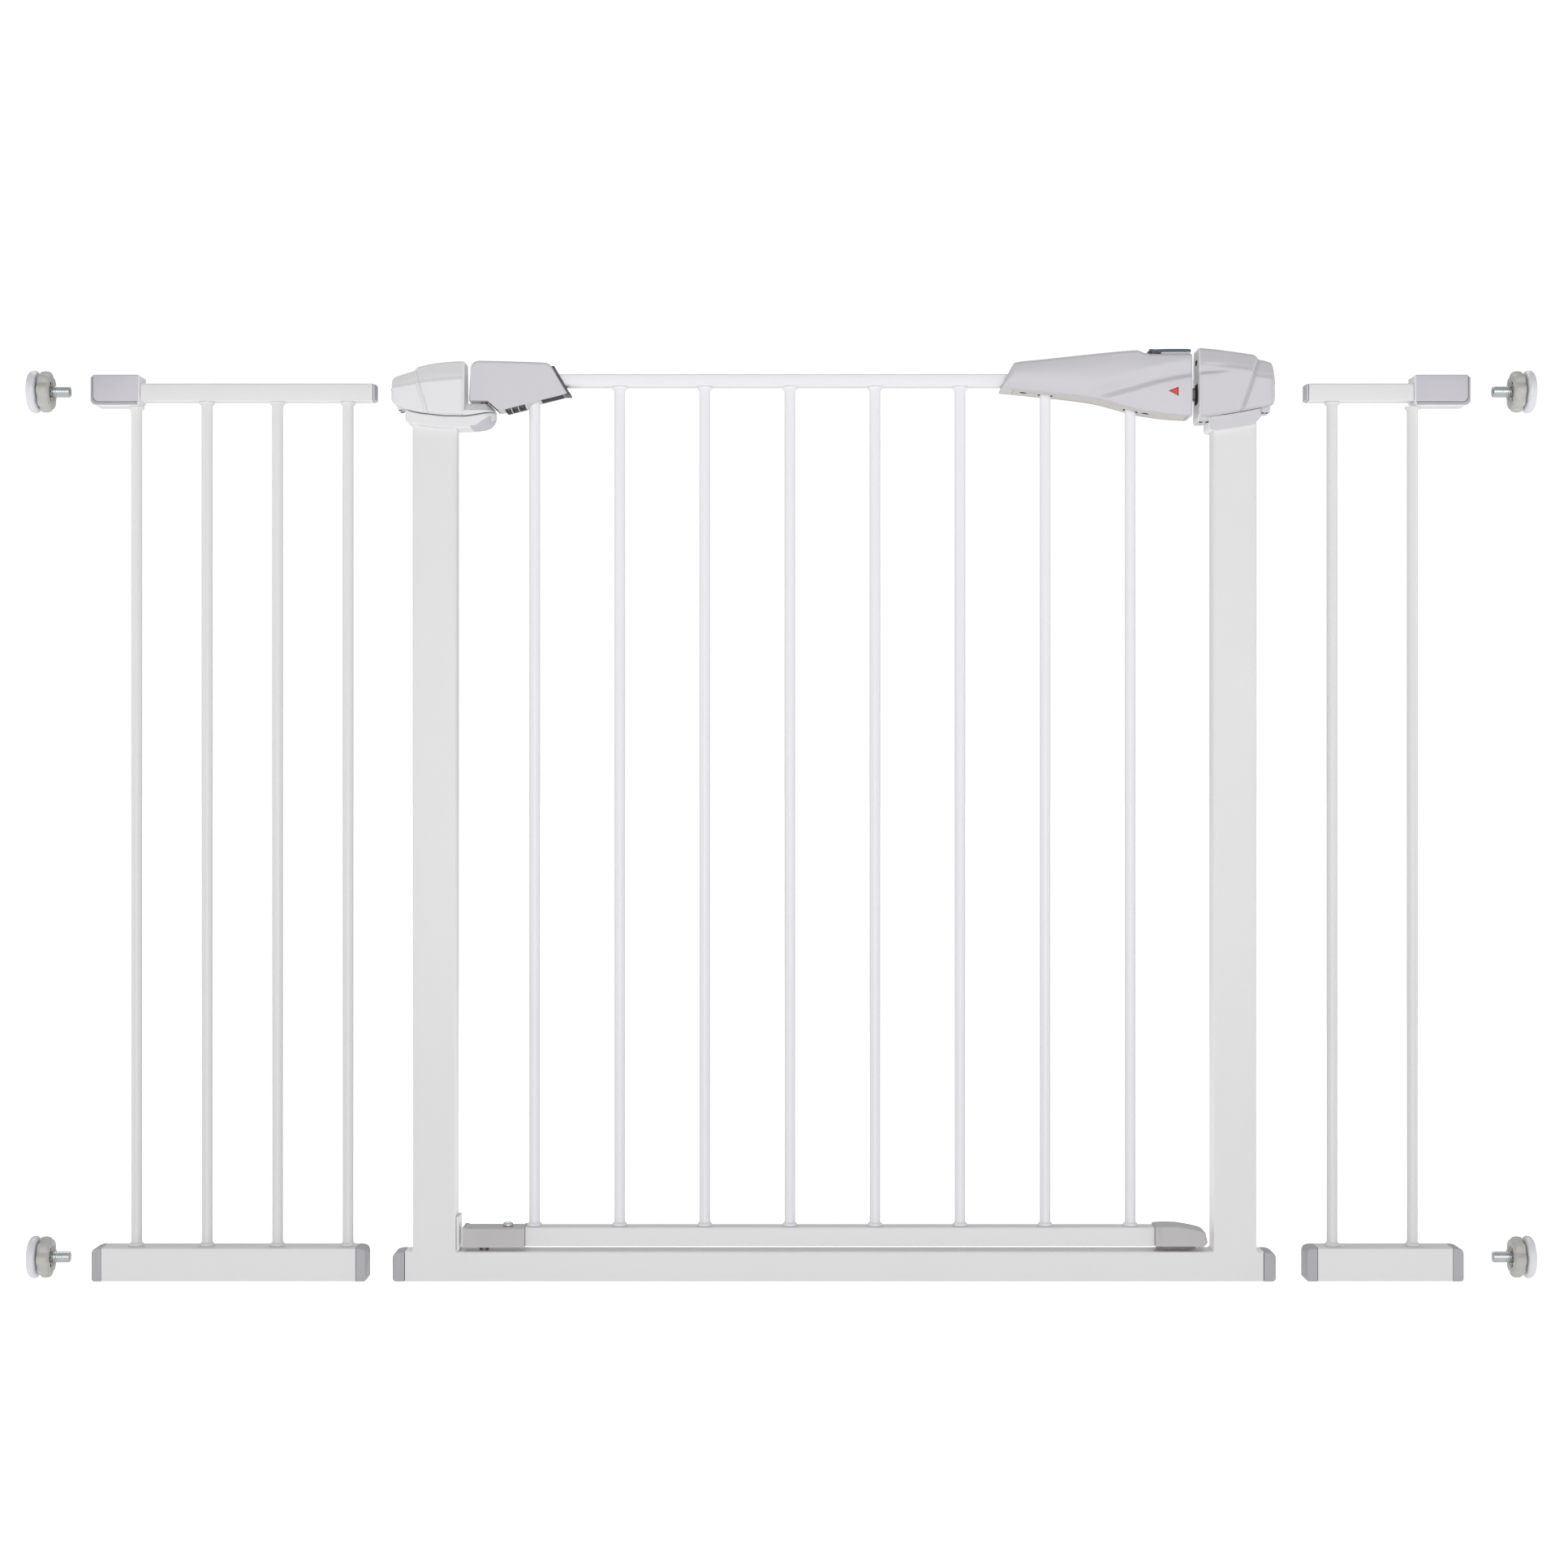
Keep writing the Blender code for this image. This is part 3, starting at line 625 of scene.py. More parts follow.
def end_cap(node, body, side, bored=False):
    """A moulded end plug that narrows and slopes down towards its free end, with a bore if asked."""
    low, high = span(node)
    length = high[0] - low[0]
    top = high[2]
    outward = curve([(0.0, top), (length * 0.35, top - 0.1), (length * 0.75, top - 1.2), (length, top - 3.4)])
    depth = curve([(0.0, TUBE_HALF_DEPTH), (length * 0.5, 12.4), (length * 0.85, 11.9), (length, 11.0)])

    def reach(x):
        return x - low[0] if side > 0 else high[0] - x

    ends = (0.5, 2.4) if side > 0 else (2.4, 0.5)
    cap = housing(
        node + "_look", (low[0], high[0]), lambda x: 0.02 + 0.5 * smooth(reach(x), length * 0.7, length),
        lambda x: outward(reach(x)), lambda x: depth(reach(x)), CAP, 1.4, 1.4, ends, None, 0.8, 14, 8)
    if bored:
        carve(cap, plug("bore", "X", (0.0, LOWER_BORE_Z), BORE_RADIUS, low[0] - 3.0, high[0] + 3.0, HOLE))
    return place(cap, body, "cap_grey", node)


# ---- fixed housings

def two_tone(z, brow, top):
    """How far the front leans back above the brow line."""
    return 3.8 * smooth(z, brow, top + 4.0) + 0.8 * smooth(z, brow - 1.0, brow + 2.4)


def build_hinge_cover():
    """The fixed cover at the hinge side: a proud inner panel, a lower outer panel and a step between."""
    top = curve([
        (-325.6, 749.4), (-323.0, 751.6), (-313.0, 755.2), (-307.4, 757.0), (-306.2, 758.6), (-304.6, 760.2),
        (-298.0, 762.0), (-287.0, 764.0), (-276.0, 765.0), (-265.4, 765.4),
    ])
    bottom = curve([
        (-325.6, 731.0), (-319.0, 727.0), (-313.9, 724.9), (-303.0, 722.2), (-292.4, 720.9), (-280.0, 719.8),
        (-265.4, 719.6),
    ])
    brow = curve([(-325.6, 742.0), (-306.0, 745.6), (-300.0, 747.2), (-265.4, 750.4)])
    step_path = [(-307.6, 762.0), (-307.0, 757.5), (-303.4, 743.0), (-299.6, 731.0), (-295.4, 716.0)]

    def shape(x, y, z):
        offset = offset_from(step_path, x, z)
        sunk = smooth(offset, -1.2, 1.2)
        facing = min(1.0, abs(y) / 15.0)
        groove = 1.2 * math.exp(-((offset - 0.9) / 0.8) ** 2) * facing
        seam = 0.9 * math.exp(-((z - bottom(x) - 0.9) / 0.45) ** 2) * facing
        return push_in((x, y, z), 1.5 * sunk * facing + two_tone(z, brow(x), top(x)) + groove + seam)

    # The end faces that look to the right take the paler white: painted light.
    cover = housing(
        "hinge_cover_look", (-325.6, -265.4), bottom, top, lambda x: COVER_HALF_DEPTH,
        [LIGHT, PAINTED_LIGHT_WHITE], 2.4, 1.8, (2.0, 1.2), (3.0, 3.6), 0.6, 64, 14, shape, 42.0, facing_x(1))
    carve(cover, block("recess", (-330, -9.2, 732.4), (-316.5, 9.2, 748.0), 0.6, HOLE, 2))
    place(cover, "frame", "grey_abs", "hinge_cover")
    nub = lathe("hinge_cover_nub", "X", (-10.5, 741.5), [
        (0.3, -326.8), (0.9, -326.7), (1.5, -326.1), (1.7, -325.0), (1.7, -323.0)], CAP, 20)
    place(nub, "frame", "grey_abs")
    clip = block("hinge_cover_clip", (-321.8, -9.0, 725.4), (-317.6, 9.0, 730.4), 0.8, LIGHT, 3)
    place(clip, "frame", "grey_abs")
    screws("hinge_cover_clip_screw", ((-319.7, -6.2), (-319.7, 6.2)),
           [(0.5, 725.1), (1.4, 724.8), (1.7, 725.2), (1.7, 726.2)], STEEL, 20)


def build_hinge_bracket():
    """The collar under the cover, which runs on into the rounded arm that carries the hinge."""
    seam = curve([
        (-314.0, 724.7), (-303.0, 721.9), (-292.4, 720.6), (-280.0, 719.5), (-266.0, 719.4), (-252.0, 721.2),
        (-240.4, 723.4),
    ])
    floor = curve([
        (-314.0, 715.0), (-311.2, 713.8), (-298.0, 711.4), (-285.7, 710.1), (-272.0, 709.6), (-263.0, 709.9),
        (-250.0, 710.9), (-246.0, 711.9), (-243.0, 714.0), (-240.4, 717.2),
    ])

    def width(x):
        along = max(0.0, (x - HINGE_X) / 10.4)
        return 17.0 * math.sqrt(max(0.02, 1.0 - along * along))

    def shape(x, y, z):
        """Lean the lower edge inward, more and more towards the end of the arm."""
        line = 709.0 + 12.0 * smooth(x, -262.0, -240.4)
        return push_in((x, y, z), 0.6 * max(0.0, line - z) * smooth(x, -266.0, -256.0))

    def tags(polygon):
        """Painted shade below the arm, where downward faces take the darker socket grey; painted light below
        the collar, where the undersides take the paler white.
        """
        if polygon.center.x / MM > -260.0:
            return 1 if polygon.normal.z < -0.3 else 0
        return 2 * facing_down(polygon)

    collar = housing(
        "hinge_collar_look", (-314.0, -240.4), floor, lambda x: seam(x) - 0.35, width,
        [LIGHT, SOCKET, PAINTED_LIGHT_WHITE], 1.6, 1.2, (1.0, 0.3), None, 0.7, 24, 14, shape, 40.0, tags,
        (2.2, 10.0))
    seat = block("seat", (-309.0, -12.7, 700), (-272.8, 12.7, 714.2), 2.4, GREY, 3)
    carve(collar, seat, pin_room(PIN_ROOM_RADIUS, 712.5, 740.0, HOLE))
    place(collar, "frame", "grey_abs", "hinge_bracket")
    skirt = housing(
        "hinge_arm_skirt", (-266.6, -240.8), lambda x: seam(x) + 0.35, lambda x: 724.35,
        lambda x: width(x) - 0.3, LIGHT, 0.4, 0.5, (0.1, 0.1), None, 0.7, 6, 14,
        crowd=(0.5, 10.0))
    carve(skirt, pin_room(PIN_ROOM_RADIUS, 712.0, 740.0, HOLE))
    place(skirt, "frame", "grey_abs")

    profile = [
        (12.0, 723.6), (12.0, 724.2), (11.2, 724.6), (10.2, 725.6), (6.8, 728.6), (4.6, 730.5), (3.9, 731.0),
        (3.3, 731.2),
    ]
    rings = []
    for radius, z in profile:
        ring = []
        for number in range(27):
            angle = -math.pi / 2 + math.pi * number / 26
            ring.append((HINGE_X + min(radius, 9.6) * math.cos(angle), radius * math.sin(angle), z))
        ring += [(-266.4, radius, z), (-266.4, -radius, z)]
        rings.append(ring)
    # The whole arm takes the paler white: painted light against the shade that the door cover above casts on
    # it.
    arm = add_mesh("hinge_arm_look", rings, PAINTED_LIGHT_WHITE, 40.0)
    carve(arm, pin_room(PIN_ROOM_RADIUS, 712.0, 740.0, HOLE))
    place(arm, "frame", "grey_abs")


def build_latch_cover():
    """The fixed cover at the latch side, with its keeper slot and an upper pocket."""
    top = curve([
        (344.5, 776.4), (357.0, 775.2), (371.0, 773.4), (385.0, 771.4), (390.2, 770.4), (392.4, 768.8),
        (394.2, 767.4), (399.0, 765.8), (404.9, 763.8), (406.2, 761.4), (407.6, 753.0),
    ])
    bottom = curve([
        (344.5, 718.7), (353.9, 719.1), (367.9, 721.1), (382.4, 723.6), (394.7, 726.1), (404.6, 728.6),
        (406.4, 729.4), (407.6, 732.0),
    ])
    brow = curve([(344.5, 760.8), (387.0, 757.0), (392.0, 752.0), (407.6, 750.2)])
    step_path = [
        (395.6, 772.0), (393.8, 767.8), (389.4, 755.0), (384.2, 739.6), (378.5, 723.4), (376.4, 714.0),
    ]
    sweep = curve([(344.5, 754.3), (355.8, 755.3), (369.2, 756.0), (380.0, 756.4)])

    def shape(x, y, z):
        offset = offset_from(step_path, x, z)
        sunk = smooth(offset, -1.4, 1.4)
        facing = min(1.0, abs(y) / 15.0)
        groove = 1.5 * math.exp(-((offset - 1.2) / 1.15) ** 2) * facing
        above = z - sweep(x)
        band = 1.7 * smooth(above, -1.5, 1.2) * (1.0 - smooth(above, 1.2, 9.0))
        band *= 1.0 - smooth(x, 352.0, 372.0)
        seam = 1.3 * math.exp(-((z - bottom(x) - 0.9) / 0.55) ** 2) * facing
        lean = two_tone(z, brow(x), top(x))
        return push_in((x, y, z), 1.4 * sunk * facing + lean + groove + band * facing + seam)

    # The end faces that look left take the paler white: painted light.
    cover = housing(
        "latch_cover_look", (344.5, 407.6), bottom, top, lambda x: COVER_HALF_DEPTH,
        [GREY, PAINTED_LIGHT_WHITE], 3.0, 2.4, (1.0, 1.0), (2.2, 4.0), 0.6, 72, 14, shape, 42.0, facing_x(-1))
    keeper = block("keeper", (340.0, -8.8, 730.6), (356.0, 8.8, 747.4), 2.0, GAP, 3)
    pocket = block("pocket", (340.0, -5.5, 763.2), (350.0, 5.5, 767.8), 1.4, GAP, 3)
    carve(cover, keeper, pocket)
    place(cover, "frame", "grey_abs", "latch_cover")
    nub = lathe("latch_cover_nub", "X", (-6.0, 748.0), [
        (1.9, 405.0), (1.9, 407.6), (1.6, 408.6), (0.9, 409.2), (0.3, 409.3)], CAP, 20)
    place(nub, "frame", "grey_abs")
    clip = block("latch_cover_clip", (396.8, -10.5, 722.9), (404.4, 10.5, 729.5), 0.8, GREY, 3)
    place(clip, "frame", "grey_abs")
    # These screw heads take the hole shadow finish: painted shade of their recesses.
    screws("latch_clip_screw", ((398.6, -8.0), (402.0, -8.0)),
           [(0.4, 722.5), (1.0, 722.3), (1.3, 722.6), (1.3, 724.0)], HOLE, 18)
    # Its faces that look left take the paler white: painted light.
    lip = housing(
        "latch_cover_lip", (343.9, 354.6), lambda x: 715.0 + 1.2 * smooth(x, 351.0, 354.6),
        lambda x: 721.0, lambda x: 15.0 - 1.0 * smooth(x, 350.0, 354.6), [GREY, PAINTED_LIGHT_WHITE],
        2.4, 1.0, (1.4, 1.0), None, 0.8, 8, 10, tags=facing_x(-1))
    place(lip, "frame", "grey_abs")
    # These screw heads take the hole shadow finish: painted shade of their recesses.
    screws("latch_lip_screw", ((346.6, -10.5), (351.8, -10.5)),
           [(0.5, 714.7), (1.2, 714.4), (1.6, 714.8), (1.6, 716.0)], HOLE, 20)


def build_latch_bracket():
    """The collar that clasps the right upright."""
    ceiling = curve([(352.8, 718.8), (367.9, 720.7), (382.4, 723.2), (396.2, 726.0)])
    floor = curve([
        (352.8, 709.4), (354.2, 707.8), (356.4, 707.4), (374.0, 709.4), (388.4, 711.9), (391.0, 713.4),
        (396.2, 718.8),
    ])
    # Undersides and faces that look left take the paler white: painted light.
    collar = housing(
        "latch_collar_look", (352.8, 396.2), floor, ceiling, lambda x: 15.5, [GREY, PAINTED_LIGHT_WHITE],
        1.6, 0.5, (0.8, 0.8), (1.8, 1.6), 0.9, 18, 12, tags=facing_gate)
    carve(collar, block("seat", (357.0, -12.7, 700), (393.2, 12.7, 714.2), 2.4, GREY, 3))
    place(collar, "frame", "grey_abs", "latch_bracket")


# ---- door housings

def build_door_hinge_cover():
    """The moulded cover that swings with the door, ribbed underneath, with dark grey painted shade in its
    pockets, under its notch and on the core at its open end.
    """
    top = curve([
        (-262.0, 736.0), (-261.5, 743.0), (-260.9, 752.0), (-260.6, 759.0), (-260.0, 761.8), (-258.4, 764.0),
        (-256.0, 765.4), (-253.5, 765.9), (-236.0, 765.6), (-219.1, 765.1), (-205.0, 764.6), (-198.6, 764.2),
        (-195.8, 763.4), (-193.8, 761.6), (-187.0, 750.2), (-181.4, 740.8), (-180.6, 739.4),
    ])
    bottom = curve([
        (-262.0, 732.4), (-247.2, 732.3), (-246.3, 731.7), (-240.0, 726.2), (-238.6, 725.0), (-237.2, 724.7),
        (-235.5, 724.9), (-226.0, 727.3), (-216.0, 729.8), (-202.2, 733.2), (-190.0, 736.2), (-180.6, 738.6),
    ])
    pockets = [(-231.9, -227.4), (-226.0, -221.9), (-220.4, -215.8), (-202.0, -184.0)]

    def shape(x, y, z):
        if z < bottom(x) + 0.3 and abs(y) < 9.8:
            for start, end in pockets:
                if start < x < end:
                    z += 2.6
        sag = smooth(x, -233.0, -231.0) * (1.0 - smooth(x, -213.0, -204.0)) * smooth(y, -12.0, -2.0)
        z -= 2.2 * sag * (1.0 - smooth(z, bottom(x) + 3.5, bottom(x) + 9.0))
        return x, y, z

    # Painted shade: the notch's underside and the pockets' walls take the dark grey.
    def tags(polygon):
        x, y, z = [value / MM for value in polygon.center]
        if -246.8 < x < -237.6 and z < bottom(x) + 0.8 and polygon.normal.z < -0.3:
            return 1
        if abs(y) < 10.0 and z < bottom(x) + 3.2 and polygon.normal.z < 0.3:
            for start, end in pockets:
                if start - 0.3 < x < end + 0.3:
                    return 1
        return 0

    cover = housing(
        "door_hinge_cover_look", (-262.0, -180.6), bottom, top, lambda x: 12.5, [GREY, PAINTED_SHADE_CORE],
        0.6, 2.0, (0.2, 0.2), (1.8, 0.6), 0.62, 30, 26, shape, 38.0, tags)
    carve(cover, pin_room(PIN_ROOM_RADIUS, 725.0, 752.5, PAINTED_SHADE_CORE))
    place(cover, "door", "grey_abs", "door_hinge_cover")
    outline = [
        (-196.0, 761.4), (-191.2, 761.6), (-179.0, 740.2), (-177.8, 738.9), (-178.0, 737.9), (-184.0, 737.9),
    ]
    # A dark insert at the open end: painted shade.
    core = slab("door_hinge_cover_core", outline, -10.8, 10.8, 0.5, PAINTED_SHADE_CORE, 3)
    carve(core, block("rail_room", (-200.0, -9.2, 745.4), (-160.0, 9.2, 755.4), 0.6, PAINTED_SHADE_CORE, 2))
    place(core, "door", "grey_abs")


def build_handle():
    """The long handle with its swept crease, sunk lower panel and open underside."""
    top = curve([
        (180.6, 742.9), (181.5, 745.0), (185.3, 752.9), (189.6, 761.0), (190.9, 763.3), (192.6, 764.3),
        (216.0, 766.8), (240.0, 769.4), (265.0, 772.0), (288.0, 774.0), (293.4, 774.2), (296.0, 773.3),
        (301.0, 771.6), (304.5, 771.1), (338.0, 771.1), (339.0, 771.1),
    ])
    bottom = curve([
        (180.6, 742.0), (196.0, 740.7), (211.9, 738.9), (226.0, 737.6), (240.2, 736.0), (253.5, 734.2),
        (265.7, 731.8), (275.5, 729.1), (285.7, 726.2), (296.0, 723.7), (306.1, 721.9), (319.6, 720.2),
        (336.6, 719.3), (339.0, 719.3),
    ])
    crease = [
        (249.0, 730.5), (255.1, 732.9), (265.2, 735.5), (271.9, 736.9), (282.0, 739.6), (292.1, 742.3),
        (300.5, 744.8), (308.3, 747.0), (323.1, 750.3), (339.2, 753.1), (345.0, 754.0),
    ]

    def shape(x, y, z):
        offset = offset_from(crease, x, z)
        wide = 3.0 - 1.2 * smooth(x, 262.0, 335.0)
        valley = smooth(offset, -wide, wide) * (1.0 - smooth(offset, wide, 15.0)) * smooth(x, 252.0, 272.0)
        facing = min(1.0, abs(y) / 13.0)
        middle = (bottom(x) + top(x)) / 2
        crown = 2.0 * ((z - middle) / ((top(x) - bottom(x)) / 2)) ** 2
        seam = 0.8 * math.exp(-((z - bottom(x) - 0.7) / 0.4) ** 2)
        return push_in((x, y, z), (1.7 * valley + seam) * facing + crown)

    cover = housing(
        "handle_cover_look", (180.6, 339.0), bottom, top, lambda x: 17.6, GREY, 0.8, 2.6,
        (0.8, 0.8), (1.6, 1.6), 0.8, 70, 12, shape, 42.0)
    arrow = [(319.3, 739.9), (327.0, 736.0), (327.0, 743.0)]
    middle = (sum(x for x, z in arrow) / 3, sum(z for x, z in arrow) / 3)
    wider = [(middle[0] + (x - middle[0]) * 1.09, middle[1] + (z - middle[1]) * 1.09) for x, z in arrow]
    rooms = [prism("arrow_room", wider, -20.0, -14.2, GREY)]
    floor_line = [
        (190.5, 741.3), (211.9, 738.9), (240.2, 736.3), (253.5, 734.6), (265.7, 732.0), (285.7, 726.1),
        (306.1, 722.1), (319.6, 720.3), (336.0, 719.5),
    ]
    outline = [(x, z - 8.0) for x, z in floor_line] + [(x, z + 3.2) for x, z in reversed(floor_line)]
    rooms += [
        prism("mouth", outline, -14.0, 14.0, GREY),
        block("rail_room", (170.0, -9.4, 745.2), (298.0, 9.4, 755.6), 1.0, HOLE, 2),
        block("bolt_room", (304.0, -5.4, 733.6), (350.0, 5.4, 744.4), 0.8, GAP, 2),
        block("slot_room", (310.6, -3.5, 742.0), (334.8, 3.5, 780.0), 1.4, HOLE, 3),
    ]
    rooms += [plug("bar_room", "Z", (x, 0.0), 6.4, 715.0, 747.0, HOLE) for x in HANDLE_BARS]
    carve(cover, *rooms)
    place(cover, "door", "grey_abs", "handle_cover")

    marker = prism("arrow_marker_look", arrow, -16.0, -14.6, RED)
    bevel = marker.modifiers.new("edge", "BEVEL")
    bevel.width = 0.35 * MM
    bevel.segments = 3
    place(marker, "door", "marker_red", "arrow_marker")

    base_line = curve(floor_line)
    base = housing(
        "handle_base_look", (190.8, 335.7), lambda x: base_line(x) + 0.05,
        lambda x: base_line(x) + 2.65, lambda x: 13.7, FLOOR_PLATE, 0.5, 0.5, (0.4, 0.4), None,
        1.6, 2, 30)
    rooms = [plug("bar_room", "Z", (x, 0.0), 6.3, 710.0, 750.0, HOLE) for x in HANDLE_BARS]
    rooms += [plug("screw_room", "Z", (x, -3.0), 3.0, z - 4.0, z + 1.9, HOLE, 28) for x, z in HANDLE_SCREWS]
    carve(base, *rooms)
    place(base, "door", "grey_abs", "handle_base")
    for number, (x, z) in enumerate(HANDLE_SCREWS):
        screw = lathe(f"handle_screw_{number}", "Z", (x, -3.0), profile_from(z, 1, [
            (0.5, 0.9), (1.3, 0.7), (2.3, 1.0), (2.5, 1.6), (2.5, 2.0)]), STEEL, 24)
        place(screw, "door", "zinc")


def build_latch():
    """The thumb slider with its grip ridges, and the bolt that it draws."""
    top = curve([
        (304.0, 775.4), (305.4, 775.7), (308.0, 775.3), (312.0, 775.4), (320.0, 775.6), (335.0, 775.6),
        (338.4, 775.3),
    ])
    under = curve([(304.0, 774.0), (306.0, 773.2), (309.0, 772.9), (314.0, 773.0), (338.4, 773.2)])

    def shape(x, y, z):
        if z > 774.6 and 312.0 < x < 335.0 and abs(y) < 10.2:
            z -= 0.4 * (0.5 - 0.5 * math.cos((x - 312.0) * 2 * math.pi / 2.3))
        return x, y, z

    slider = housing(
        "thumb_slider_look", (304.0, 338.4), under, top,
        lambda x: 12.0 - 0.6 * smooth(x, 312.0, 304.2), SLIDER, 0.4, 0.8, (0.3, 0.5),
        (1.2, 1.2), 0.32, 4, 16, shape, 40.0)
    place(slider, "latch", "slider_grey", "thumb_slider")
    outline = [
        (306.5, 772.9), (313.6, 772.9), (313.6, 771.35), (338.0, 771.35), (338.0, 774.2), (306.5, 774.2),
    ]
    skirt = slab("slider_skirt_look", outline, -11.4, 11.4, 0.4, GREY, 3)
    place(skirt, "latch", "grey_abs")
    stem = block("slider_stem_look", (319.2, -2.7, 744.2), (326.8, 2.7, 771.0), 0.8, SLIDER, 3)
    place(stem, "latch", "slider_grey")
    bolt = block("latch_bolt_look", (315.0, -5.0, 734.0), (344.0, 5.0, 744.0), 1.1, STEEL, 4)
    place(bolt, "latch", "zinc", "latch_bolt")


def build_shoe():
    """The lower hinge shoe, its bolt head and both hinge pins."""
    low, high = span("lower_hinge_shoe")

    def lip(x):
        return 0.9 * (1.0 - smooth(x, low[0], low[0] + 4.0)) + 0.9 * smooth(x, high[0] - 3.0, high[0])

    shoe = housing(
        "lower_hinge_shoe_look", (low[0] - 1.2, high[0]), lambda x: low[2], lambda x: high[2] - 0.9 + lip(x),
        lambda x: 12.4 + 0.6 * smooth(x, high[0] - 3.0, high[0]), SHOE, 0.8, 0.6, (0.4, 0.5), (0.9, 0.8),
        0.7, 16, 10)
    carve(shoe, pin_room(SHOE_ROOM_RADIUS, 20.0, 42.5, HOLE))
    place(shoe, "door", "shoe_grey", "lower_hinge_shoe")
    base = span("shoe_bolt")[1][2] - 2.5
    head = lathe("shoe_bolt_look", "Z", (-230.5, 0.0), profile_from(base, 1, [
        (0.3, -0.9), (4.2, -0.8), (4.3, 0.5), (4.1, 1.3), (3.4, 2.1),
        (2.2, 2.5), (1.6, 2.4), (1.4, 1.5), (0.3, 1.4)]), ZINC, 36)
    place(head, "door", "zinc", "shoe_bolt")
    for node, z_low, z_high in (("lower_pivot_pin", 7.0, 42.0), ("upper_pivot_pin", 713.0, 752.0)):
        radius = (span(node)[1][1] - span(node)[0][1]) / 2
        pin = lathe(node + "_look", "Z", (HINGE_X, 0.0), [
            (radius - 0.9, z_low), (radius, z_low + 0.9), (radius, z_high - 0.9), (radius - 0.9, z_high)],
            STEEL, 36)
        place(pin, "pivots", "zinc", node)


def build_catch():
    """The bottom catch with its humped top and rounded end, its plate, and the threshold's stop."""
    low, high = span("bottom_catch")
    x0, x1 = low[0], high[0]
    top = curve([
        (x0, 45.6), (x0 + 2.0, 46.0), (x0 + 8.0, 46.4), (327.0, 46.2), (335.0, 45.1), (343.0, 43.5),
        (350.5, 41.0), (x1 - 1.4, 38.0), (x1, 34.0),
    ])

    def shape(x, y, z):
        ridge = 0.5 * (smooth(x, x0 + 2.6, x0 + 3.4) - smooth(x, x0 + 5.0, x0 + 5.8))
        ridge *= min(1.0, abs(y) / 11.0)
        return push_in((x, y, z), ridge)

    catch = housing(
        "bottom_catch_look", (x0, x1), lambda x: 29.0 + 2.2 * smooth(x, x1 - 4.0, x1), top,
        lambda x: 13.0 - 1.2 * smooth(x, x1 - 6.0, x1), SHOE, 1.2, 1.6, (0.5, 1.6), (0.6, 3.0),
        0.7, 16, 10, shape)
    place(catch, "door", "shoe_grey", "bottom_catch")
    low, high = span("catch_plate")
    plate = block("catch_plate_look", low, high, 0.5, STEEL, 3)
    place(plate, "door", "zinc", "catch_plate")
    low, high = span("threshold_stop")
    edge = [(low[0], low[2]), (high[0], low[2]), (high[0], high[2]), (low[0], high[2])]
    # The faces that look right take the paler white: painted light.
    stop = slab("threshold_stop_look", edge, low[1], high[1], 0.5, [WHITE, PAINTED_LIGHT_WHITE], 3, facing_x(1))
    place(stop, "frame", "white_steel", "threshold_stop")


# ---- extensions and spindles

def build_extension(side_name, side, bars):
    """An extension: two rails and their bars, the end caps, the top plug and the socket sleeve."""
    body = f"{side_name}_extension"
    for number in range(1, bars + 1):
        round_bar(f"{body}_bar_{number}", body, WHITE)
    rail(f"{body}_top_rail", body, 1.2, WHITE)
    rail(f"{body}_bottom_rail", body, 1.5, WHITE)
    end_cap(f"{body}_inner_cap", body, -side)
    end_cap(f"{body}_outer_cap", body, side, bored=True)
    low, high = span(f"{body}_top_plug")
    tip, seat = ordered(low, high, side)
    rings = []
    for reach, depth, sink in ((0.0, 0.97, 0.0), (0.55, 0.93, 0.1), (0.85, 0.72, 0.4), (1.0, 0.35, 1.0)):
        outline = section(low[2] + sink, high[2] - sink, high[1] * depth, 0.9, 0.9, sides=2, flats=2, turns=6)
        rings.append([(seat + (tip - seat) * reach, y, z) for y, z in outline])
    top_plug = add_mesh(f"{body}_top_plug_look", rings, SOCKET, 30.0)
    place(top_plug, body, "cap_grey", f"{body}_top_plug")

    node = f"{body}_socket"
    low, high = span(node)
    inner, outer = ordered(low, high, side)

    def plate(name, shift, lift, drop, depth, edge, corner, material, short, tags=None):
        """One layer of the sleeve, roundest at its outer lower corner."""
        start, end = outer - side * shift, inner + side * short
        corners = [(start, low[2] + lift, corner), (end, low[2] + lift, 0.8), (end, high[2] - drop, 1.0),
                   (start, high[2] - drop, 1.2)]
        return slab(name, rounded(corners), -depth, depth, edge, material, 3, tags)

    def painted_light_side_mask(polygon):
        """Material 1, the paler white of painted light, for undersides and for the faces that look to the
        gate, 0 for the rest.
        """
        return 1 if facing_down(polygon) or polygon.normal.x * side < -0.7 else 0

    layers = [
        plate(f"{node}_look", 0.0, 0.0, 1.4, 11.6, 0.9, 4.6, [RIM, PAINTED_LIGHT_WHITE], 1.0, painted_light_side_mask),
        # A thin dark sheet between the front plate and the shell: a painted shadow line along their edges.
        plate(f"{node}_painted_shadow_line", 1.9, 2.3, 0.3, 12.3, 0.2, 4.4, GAP, 1.0),
        plate(f"{node}_shell", 2.5, 2.9, 0.0, 13.0, 0.7, 4.2, [SOCKET, PAINTED_LIGHT_WHITE], 0.0, painted_light_side_mask),
    ]
    ends = sorted((outer - side * 30, outer + side * 3))
    for obj in layers:
        carve(obj, plug("bore", "X", (0.0, UPPER_BORE_Z), BORE_RADIUS, *ends, HOLE))
    place(layers[0], body, "grey_abs", node)
    place(layers[1], body, "grey_abs")
    place(layers[2], body, "grey_abs")


